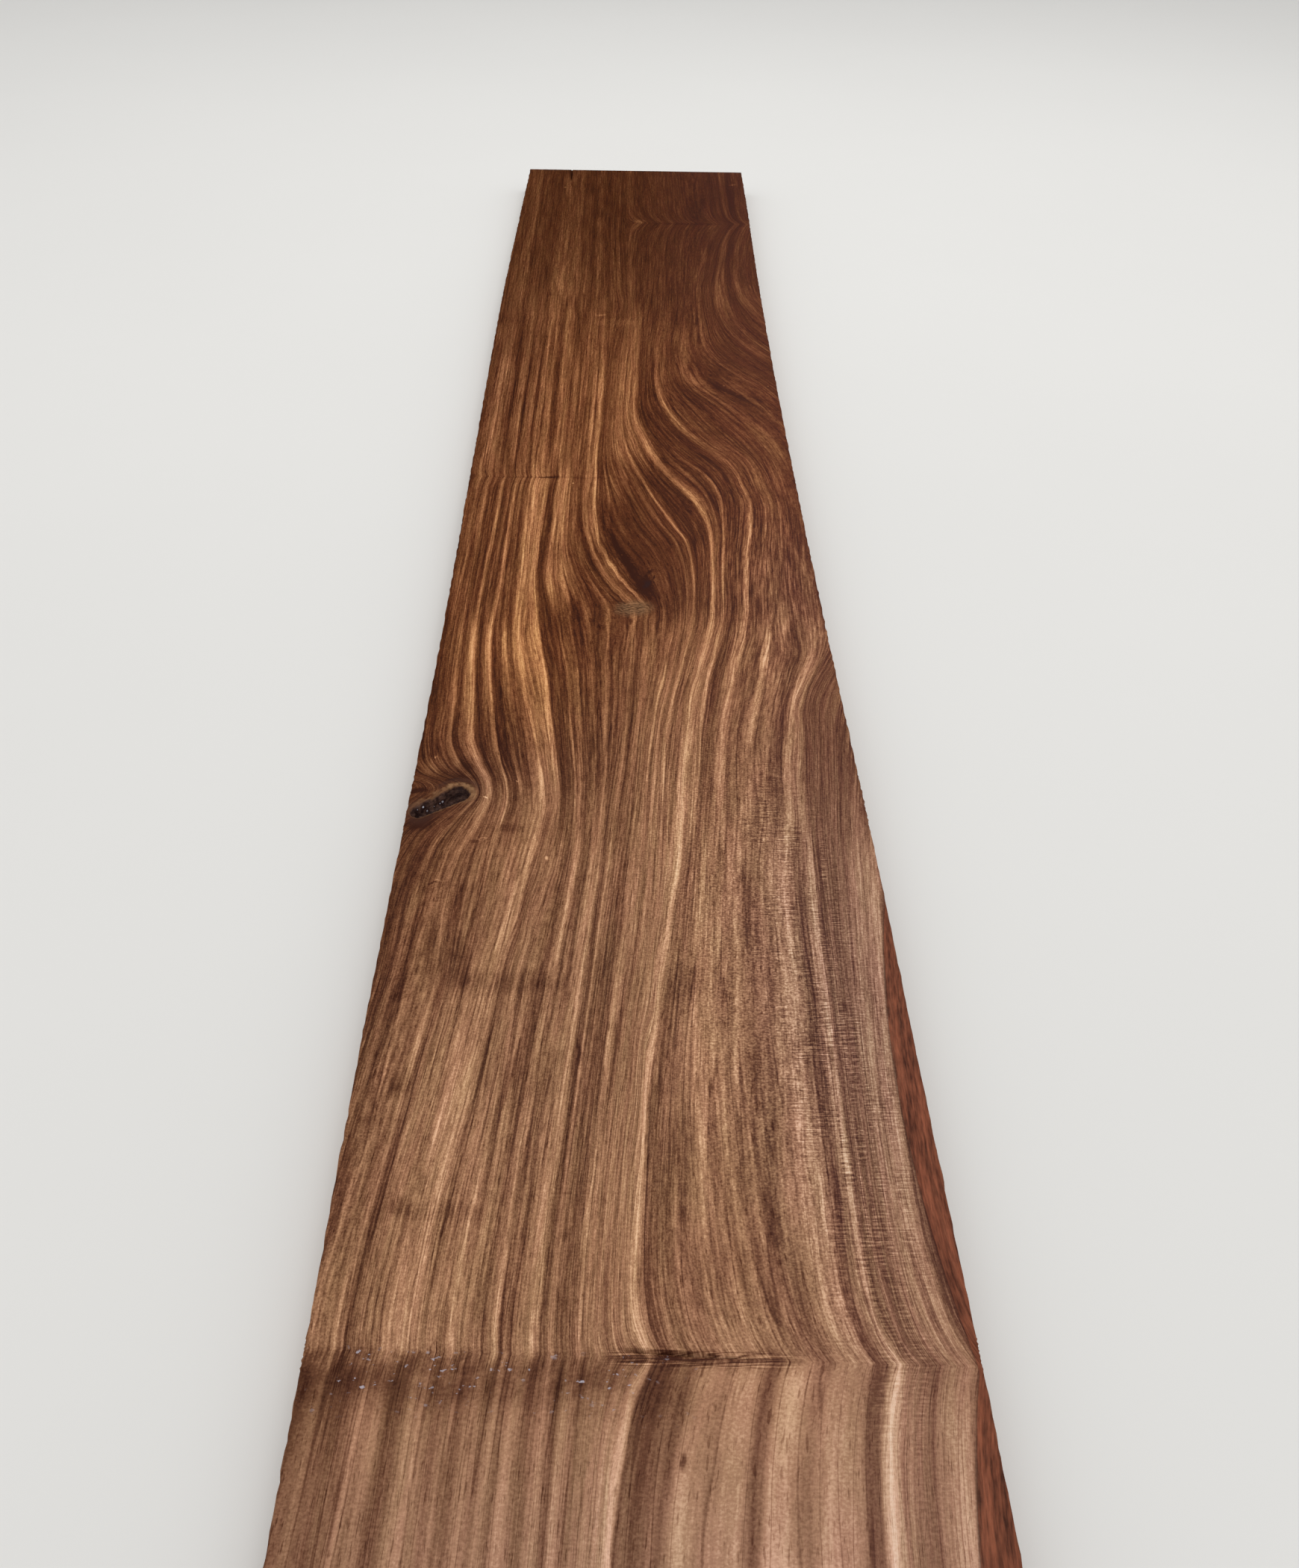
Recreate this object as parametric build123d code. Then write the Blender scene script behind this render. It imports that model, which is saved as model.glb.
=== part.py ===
from build123d import *
import os

# A sawn walnut plank with one planed face. It lies flat, length along Y, planed face up.
# All sizes are in millimetres.

# Stock
stock_length = 1800.0
stock_width = 250.0
stock_thickness = 25.0
arris = 0.5

# Each ripped edge wanders: (distance from the far end, how far it stands outside the stock width).
# The right edge flares out where the board has a crook at its far end.
right_edge_run = [(0, 9.2), (150, 6.7), (300, 3.3), (700, -1.6), (1000, -1.6), (1250, 0.2), (1500, 0.4)]
left_edge_run = [(0, -3.0), (150, -1.2), (450, 1.3), (800, -0.2), (1050, -1.3), (1350, 0.6), (1500, 0.0)]

# Knot hole near the left edge, a blind teardrop pit that leans across the grain
knot_from_far_end = 1188.6
knot_from_left_edge = 17.2
knot_spread = 25.0
knot_wide_radius = 6.5
knot_narrow_radius = 4.5
knot_angle = 38.0
knot_depth = 9.0
knot_wall_taper = 12.0

# Bark seam across the strongest kink of the grain
seam_from_far_end = 1502.6
seam_from_left_edge = 138.7
seam_length = 56.0
seam_width = 1.6
seam_depth = 4.0
seam_angle = -4.6

# Short crack at the small kink of the grain
crack_from_far_end = 805.5
crack_from_left_edge = 58.5
crack_length = 18.0
crack_width = 0.9
crack_depth = 2.2
crack_angle = 4.0

# Drying check that opens through the far end
check_from_left_edge = 54.0
check_length = 55.0
check_width = 2.4
check_depth = 7.0

# Two rolled-off stretches of the right edge, which the planer didn't reach. Each falls away from an arc
# in the planed face, and its drop is measured where the arc is farthest from the edge.
far_roll_from_far_end = 1389.0
far_roll_length = 276.0
far_roll_width = 14.0
far_roll_drop = 1.6
near_roll_from_far_end = 1635.0
near_roll_length = 276.0
near_roll_width = 20.0
near_roll_drop = 2.2

# How far a cutter reaches past the face that it cuts
cutter_reach = 12.0

far_end_y = stock_length / 2
left_edge_x = -stock_width / 2
right_edge_x = stock_width / 2


def edge_line(run, side):
    """One ripped edge: a smooth curve through its run, then straight on past the near end."""
    points = [(side * (stock_width / 2 + out), far_end_y - back) for back, out in run]
    last_x, last_y = points[-1]
    lead_in = (points[1][0] - points[0][0], points[1][1] - points[0][1])
    curve = Spline(*points, tangents=[lead_in, (0, -1)])
    tail = Line((last_x, last_y), (last_x, last_y - stock_length))
    return curve, tail


def ripped_board():
    """The board between its two ripped edges, longer than the stock."""
    right_curve, right_tail = edge_line(right_edge_run, 1)
    left_curve, left_tail = edge_line(left_edge_run, -1)
    far_end = Line(left_curve @ 0, right_curve @ 0)
    near_end = Line(left_tail @ 1, right_tail @ 1)
    outline = make_face(Wire([far_end, right_curve, right_tail, near_end, left_tail, left_curve]))
    return extrude(outline, amount=stock_thickness, dir=(0, 0, 1))


def cross_cut(board):
    """Cuts the board square at its near end, to the stock length."""
    room = 2 * stock_width
    saw_cut = Pos(0, far_end_y - stock_length) * Box(
        room, 2 * stock_length, room, align=(Align.CENTER, Align.MAX, Align.CENTER)
    )
    return board - saw_cut


def ease_long_corners(board):
    """Takes the sharpness off the four long corners."""
    edges = [edge for face in board.faces().filter_by(Axis.Z) for edge in face.edges()]
    sizes = [edge.bounding_box().size for edge in edges]
    corners = [edge for edge, size in zip(edges, sizes) if size.Y > size.X]
    return chamfer(corners, arris)


def seam_cutter(length, width, depth):
    """A thin V-edged disc that leaves a seam of this length, width and depth along X in the planed face."""
    radius = length**2 / (8 * depth) + depth / 2
    slope = width / 2 / depth
    root = depth + cutter_reach
    section = Polyline(
        (0, -radius), (slope * root, root - radius), (-slope * root, root - radius), close=True
    )
    disc = revolve(Plane.YZ * make_face(section), axis=Axis.Y)
    return Pos(0, 0, stock_thickness + radius - depth) * disc


def on_face(cutter, from_left_edge, from_far_end, angle):
    """Turns a cutter about Z and moves it to its place on the board."""
    return Pos(left_edge_x + from_left_edge, far_end_y - from_far_end) * Rot(0, 0, angle) * cutter


def knot_cutter():
    """The teardrop pit of the knot, narrower towards its floor."""
    wide_end = Pos(knot_spread / 2, 0) * Rot(0, 0, 180) * Circle(knot_wide_radius)
    narrow_end = Pos(-knot_spread / 2, 0) * Circle(knot_narrow_radius)
    outline = make_hull((wide_end + narrow_end).edges())
    pit = extrude(outline, amount=knot_depth, dir=(0, 0, -1), taper=knot_wall_taper)
    return Pos(0, 0, stock_thickness) * pit


def rolled_cutter(from_far_end, length, width, drop):
    """A ring whose underside is a cone: it meets the planed face in an arc and falls towards the edge."""
    radius = length**2 / (8 * width) + width / 2
    span = width + cutter_reach
    section = Polyline(
        (radius, 0),
        (radius - span, -drop * span / width),
        (radius - span, cutter_reach),
        (radius, cutter_reach),
        close=True,
    )
    ring = revolve(Plane.XZ * make_face(section), axis=Axis.Z)
    centre_x = right_edge_x - width + radius
    return Pos(centre_x, far_end_y - from_far_end, stock_thickness) * ring


def build_plank():
    """The board, ripped, cross-cut and eased, with its natural faults cut into the planed face."""
    board = ease_long_corners(cross_cut(ripped_board()))
    board -= rolled_cutter(far_roll_from_far_end, far_roll_length, far_roll_width, far_roll_drop)
    board -= rolled_cutter(near_roll_from_far_end, near_roll_length, near_roll_width, near_roll_drop)
    board -= on_face(knot_cutter(), knot_from_left_edge, knot_from_far_end, knot_angle)

    seam = seam_cutter(seam_length, seam_width, seam_depth)
    board -= on_face(seam, seam_from_left_edge, seam_from_far_end, seam_angle)

    crack = seam_cutter(crack_length, crack_width, crack_depth)
    board -= on_face(crack, crack_from_left_edge, crack_from_far_end, crack_angle)

    check = seam_cutter(2 * check_length, check_width, check_depth)
    board -= on_face(check, check_from_left_edge, 0, 90)
    return board


def centred(board):
    """Moves the board so that the origin is the middle of its box, at its underside."""
    box = board.bounding_box()
    middle = box.center()
    return Pos(-middle.X, -middle.Y, -box.min.Z) * board


plank = centred(build_plank())

os.makedirs("parts", exist_ok=True)
export_step(plank, "parts/plank.step")
print("plank", round(plank.volume / 1000), "cm3", plank.bounding_box())
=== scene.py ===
import math

import bpy
import numpy as np
from mathutils import Matrix, Vector


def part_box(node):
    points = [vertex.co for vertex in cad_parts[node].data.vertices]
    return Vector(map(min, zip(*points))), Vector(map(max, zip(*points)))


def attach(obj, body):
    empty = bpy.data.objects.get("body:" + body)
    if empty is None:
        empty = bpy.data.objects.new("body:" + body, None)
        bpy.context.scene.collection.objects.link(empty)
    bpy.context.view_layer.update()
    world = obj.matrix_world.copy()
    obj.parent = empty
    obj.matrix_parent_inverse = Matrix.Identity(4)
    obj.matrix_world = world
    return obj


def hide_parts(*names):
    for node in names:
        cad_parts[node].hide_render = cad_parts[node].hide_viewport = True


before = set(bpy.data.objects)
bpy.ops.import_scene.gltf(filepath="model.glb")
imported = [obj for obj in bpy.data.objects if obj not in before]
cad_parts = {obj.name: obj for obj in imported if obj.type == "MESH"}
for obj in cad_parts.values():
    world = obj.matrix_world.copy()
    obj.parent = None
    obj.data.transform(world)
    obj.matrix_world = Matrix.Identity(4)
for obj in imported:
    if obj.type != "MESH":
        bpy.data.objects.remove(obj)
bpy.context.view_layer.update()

# A walnut plank with one planed face, seen from above its near end.
# Places on the board are in millimetres from the middle of the stock: x across, y towards the far end.
MM = 0.001
STOCK_WIDTH = 250.0
ARRIS = 0.5

# How far each ripped edge stands outside the stock width: (distance from the far end, outside)
RIGHT_EDGE = [(0, 9.2), (150, 6.7), (300, 3.3), (700, -1.6), (1000, -1.6), (1250, 0.2), (1500, 0.4),
              (1800, 0.4)]
LEFT_EDGE = [(0, -3.0), (150, -1.2), (450, 1.3), (800, -0.2), (1050, -1.3), (1350, 0.6), (1500, 0.0),
             (1800, 0.0)]

low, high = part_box("plank")
BOARD_LENGTH = (high.y - low.y) / MM
THICKNESS = (high.z - low.z) / MM
HALF_LENGTH = BOARD_LENGTH / 2
MIDDLE_X = high.x / MM - RIGHT_EDGE[0][1] - STOCK_WIDTH / 2

# Knot hole: a teardrop pit that leans across the grain
KNOT_AT = (-107.8, -288.6)
KNOT_SPREAD = 25.0
KNOT_WIDE_RADIUS = 6.5
KNOT_NARROW_RADIUS = 4.5
KNOT_ANGLE = 38.0
# Painted highlights: glints on the resin of its walls, where the camera sees them through the level of the
# face: (x, y, radius)
KNOT_PAINTED_GLINTS = [(-105.6, -288.0, 0.9), (-115.6, -292.5, 0.8), (-113.2, -295.6, 0.7), (-118.4, -294.8, 0.4),
               (-106.8, -289.5, 0.5), (-109.7, -292.0, 0.35)]
KNOT_DEPTH = 9.0
KNOT_WALL_RUN = 2.0
KNOT_LIP = 0.3
# Its floor's usual depth and how far it rises and falls, as shares of the full depth
KNOT_FLOOR, KNOT_UNEVEN = 0.80, 0.20
# How finely a line of sight is followed down to the wall
SIGHT_STEP = 0.02

# V-edged openings in the planed face: (x, y, length, width, depth, angle)
OPENINGS = {
    "bark_seam": (13.7, -602.6, 56.0, 1.6, 4.0, -4.6),
    "short_crack": (-66.5, 94.5, 18.0, 0.9, 2.2, 4.0),
    "end_check": (-71.0, HALF_LENGTH, 110.0, 2.4, 7.0, 90.0),
}

# The check closes to a hairline at the far end, over this run
CHECK_RUN = 18.0
CHECK_END_SHARE = 0.12

# Rolled-off stretches of the right edge: (y of the middle, length, width, drop)
ROLLED = [(-489.0, 276.0, 14.0, 1.6), (-735.0, 276.0, 20.0, 2.2)]

# Grain lines from the far end to the near end, (y, x), under the number by which the bands know them.
# The two straight ones outside the board only hold the field beyond its edges.
GRAIN_LINES = {
    -200: [(900, -200), (-900, -200)],
    -117: [(900, -117), (400, -117), (0, -118), (-200, -117), (-240, -115.5), (-255, -111), (-264, -104),
           (-271, -94), (-279, -91), (-288, -95), (-298, -102), (-314, -113), (-330, -118), (-420, -124),
           (-500, -133), (-600, -140), (-900, -152)],
    -109: [(900, -109), (400, -109.5), (0, -110), (-140, -110), (-200, -108), (-240, -105), (-256, -98.5),
           (-272, -89), (-281, -87.5), (-299, -95), (-322, -105), (-340, -108), (-420, -115), (-500, -122.5),
           (-600, -130), (-900, -141)],
    -100: [(900, -99), (400, -100), (0, -101), (-80, -103), (-140, -102), (-205, -97), (-235, -94.5),
           (-250, -90), (-268, -83), (-280, -81), (-305, -85), (-320, -89), (-425, -96), (-480, -102),
           (-545, -109), (-590, -112), (-700, -118), (-900, -128)],
    -88: [(900, -87), (400, -88), (60, -90), (-60, -91), (-140, -91), (-185, -87), (-225, -82), (-252, -77),
          (-268, -72), (-290, -70), (-305, -72), (-360, -77), (-430, -84), (-490, -91), (-530, -96),
          (-590, -101), (-700, -106), (-900, -114)],
    -81: [(900, -80), (0, -82), (-80, -82), (-110, -81.5), (-155, -78), (-200, -73), (-245, -66), (-290, -60),
          (-340, -65), (-430, -75), (-490, -82), (-530, -87), (-590, -92), (-700, -97), (-900, -105)],
    -73: [(900, -71), (400, -72), (0, -73), (-80, -72.5), (-110, -72.5), (-155, -67.5), (-200, -60),
          (-245, -53), (-290, -48.5), (-340, -54), (-430, -66), (-490, -73), (-530, -78), (-590, -83),
          (-700, -88), (-900, -96)],
    -65: [(900, -62), (400, -64), (60, -65), (-20, -67), (-50, -67), (-80, -64), (-125, -59), (-165, -53),
          (-205, -49), (-245, -45), (-285, -42), (-320, -45), (-400, -57), (-500, -66), (-590, -73),
          (-700, -78), (-900, -86)],
    -55: [(900, -52), (400, -53), (60, -56), (-20, -57), (-50, -57), (-80, -54), (-120, -49), (-160, -43.5),
          (-200, -40), (-240, -37), (-300, -34.5), (-420, -46), (-510, -54), (-590, -60), (-700, -65),
          (-900, -72)],
    -45: [(900, -42), (400, -43), (100, -47), (40, -48), (-20, -46), (-45, -41), (-70, -34.5), (-90, -31),
          (-130, -27), (-200, -23.5), (-280, -22), (-350, -26), (-460, -36), (-550, -44), (-600, -48),
          (-700, -53), (-900, -60)],
    -36: [(900, -32), (400, -33), (200, -36), (100, -38), (60, -38), (20, -35.5), (-20, -30), (-40, -25),
          (-55, -19.5), (-68, -13), (-88, -3.5), (-110, -3), (-140, -5), (-220, -8), (-290, -14),
          (-450, -27), (-550, -35), (-600, -38), (-700, -43), (-900, -50)],
    -27: [(900, -22), (400, -23), (200, -26), (100, -28), (40, -28.5), (-5, -24), (-20, -20), (-46, -11),
          (-60, -5), (-72, 1), (-90, 7.5), (-110, 7), (-140, 5.5), (-220, 0), (-290, -5), (-350, -10),
          (-450, -19), (-550, -27), (-600, -30), (-700, -35), (-900, -42)],
    -18: [(900, -13), (560, -13), (500, -11), (460, -8.5), (400, -13), (230, -19), (100, -18), (70, -12),
          (45, -7), (20, -1), (-5, 8), (-35, 17), (-65, 22), (-95, 24), (-140, 20), (-220, 9), (-290, 4),
          (-350, 0), (-450, -10), (-550, -18), (-600, -21), (-700, -27), (-900, -35)],
    -4: [(900, 0), (400, -3), (230, -10), (190, -10), (160, -8), (132, -4), (120, -1), (97, 5), (75, 11),
         (48, 19), (22, 28), (0, 36), (-15, 38), (-90, 38), (-110, 36), (-140, 31), (-220, 18), (-290, 13),
         (-350, 10), (-450, 0), (-550, -10), (-600, -13), (-700, -20), (-900, -28)],
    8: [(900, 12), (560, 10), (420, 6), (340, 4), (260, 3), (220, 1.5), (192, 2.5), (165, 8), (137, 14),
        (110, 22), (88, 32), (65, 43), (38, 51), (0, 54.5), (-30, 53.5), (-80, 51), (-110, 49), (-130, 45),
        (-160, 39), (-190, 33), (-220, 30), (-260, 26), (-300, 23), (-340, 20), (-370, 15), (-420, 9),
        (-470, 2), (-500, 0), (-545, -3), (-600, -7), (-675, -13), (-900, -22)],
    16: [(900, 24), (700, 24), (560, 21), (420, 14), (340, 10.5), (260, 8.5), (230, 8), (200, 13), (185, 16),
         (155, 26), (128, 38), (105, 52), (80, 61), (60, 63.5), (20, 63), (-30, 60), (-100, 56),
         (-145, 48.5), (-165, 44), (-210, 38), (-300, 30), (-380, 22), (-470, 12), (-545, 6), (-600, 4),
         (-675, -2), (-900, -10)],
    28: [(900, 37), (740, 35), (600, 32), (500, 30), (400, 26), (355, 22), (320, 21), (290, 20), (262, 21),
         (230, 25), (200, 33), (175, 43), (150, 56), (130, 69), (108, 77), (85, 81), (55, 85), (30, 84),
         (0, 81), (-45, 76), (-95, 72), (-120, 69), (-148, 63), (-170, 60), (-215, 52), (-300, 44),
         (-380, 37), (-450, 31), (-550, 30), (-600, 32), (-700, 26), (-900, 18)],
    48: [(900, 62), (640, 60), (520, 54), (400, 49), (330, 45.5), (300, 49), (280, 52), (258, 60), (240, 71),
         (225, 80), (205, 90), (180, 101), (140, 113), (100, 119), (50, 122), (0, 121), (-60, 119),
         (-115, 116), (-142, 113), (-163, 106), (-185, 99), (-225, 93), (-265, 88.5), (-300, 86),
         (-340, 82.5), (-380, 80.5), (-430, 80.5), (-500, 79), (-560, 78.5), (-600, 78), (-700, 74),
         (-900, 64)],
    57: [(900, 88), (750, 86), (680, 83), (600, 75), (560, 71), (500, 66), (460, 65), (420, 65.5),
         (375, 64.5), (345, 67.5), (330, 72), (312, 80), (290, 92), (260, 108), (220, 125), (150, 142),
         (50, 150), (-50, 146), (-110, 136), (-150, 119), (-185, 104.5), (-235, 98.5), (-285, 94),
         (-340, 91), (-385, 89.5), (-430, 89), (-480, 88), (-545, 87), (-600, 87), (-700, 83), (-900, 74)],
    86: [(900, 106), (750, 104), (680, 101), (640, 96), (600, 91.5), (560, 88), (520, 83.5), (480, 82),
         (440, 83), (420, 85), (390, 92), (360, 102), (335, 115), (322, 122), (280, 145), (200, 160),
         (0, 165), (-100, 155), (-160, 135), (-200, 124), (-285, 112), (-385, 104), (-480, 99),
         (-545, 98), (-600, 99), (-700, 95), (-900, 85)],
    97: [(900, 113), (780, 111), (700, 108), (640, 101.5), (600, 98.5), (560, 95), (500, 94), (460, 96),
         (420, 100), (380, 112), (350, 125), (300, 150), (200, 175), (0, 180), (-100, 170), (-160, 150),
         (-200, 140), (-285, 124), (-385, 114), (-480, 107), (-545, 106), (-600, 108), (-700, 105),
         (-900, 96)],
    107: [(900, 122), (780, 120), (700, 116), (640, 112), (600, 108.5), (560, 105), (510, 104), (480, 106),
          (452, 112), (428, 119), (400, 131), (350, 150), (300, 170), (200, 190), (0, 195), (-100, 185),
          (-160, 165), (-200, 155), (-285, 138), (-385, 126), (-480, 118), (-545, 117), (-600, 119),
          (-700, 116), (-900, 108)],
    200: [(900, 240), (-900, 240)],
}

# Kinks, where all lines jump towards the right edge at one height:
# (y at the middle line, slope, from x, to x, jump, fades over above, fades over below)
KINKS = [
    (703.0, 0.0, 0.0, 160.0, 12.0, 18.0, 30.0),
    (421.0, 0.03, -150.0, 5.0, 1.0, 8.0, 8.0),
    (95.0, 0.0, -150.0, -58.0, 2.0, 7.0, 7.0),
    (-604.0, -0.032, -160.0, -8.0, 1.8, 9.0, 12.0),
    (-604.0, -0.032, -8.0, 160.0, 10.0, 14.0, 25.0),
]
KINK_EDGE = 12.0

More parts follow.
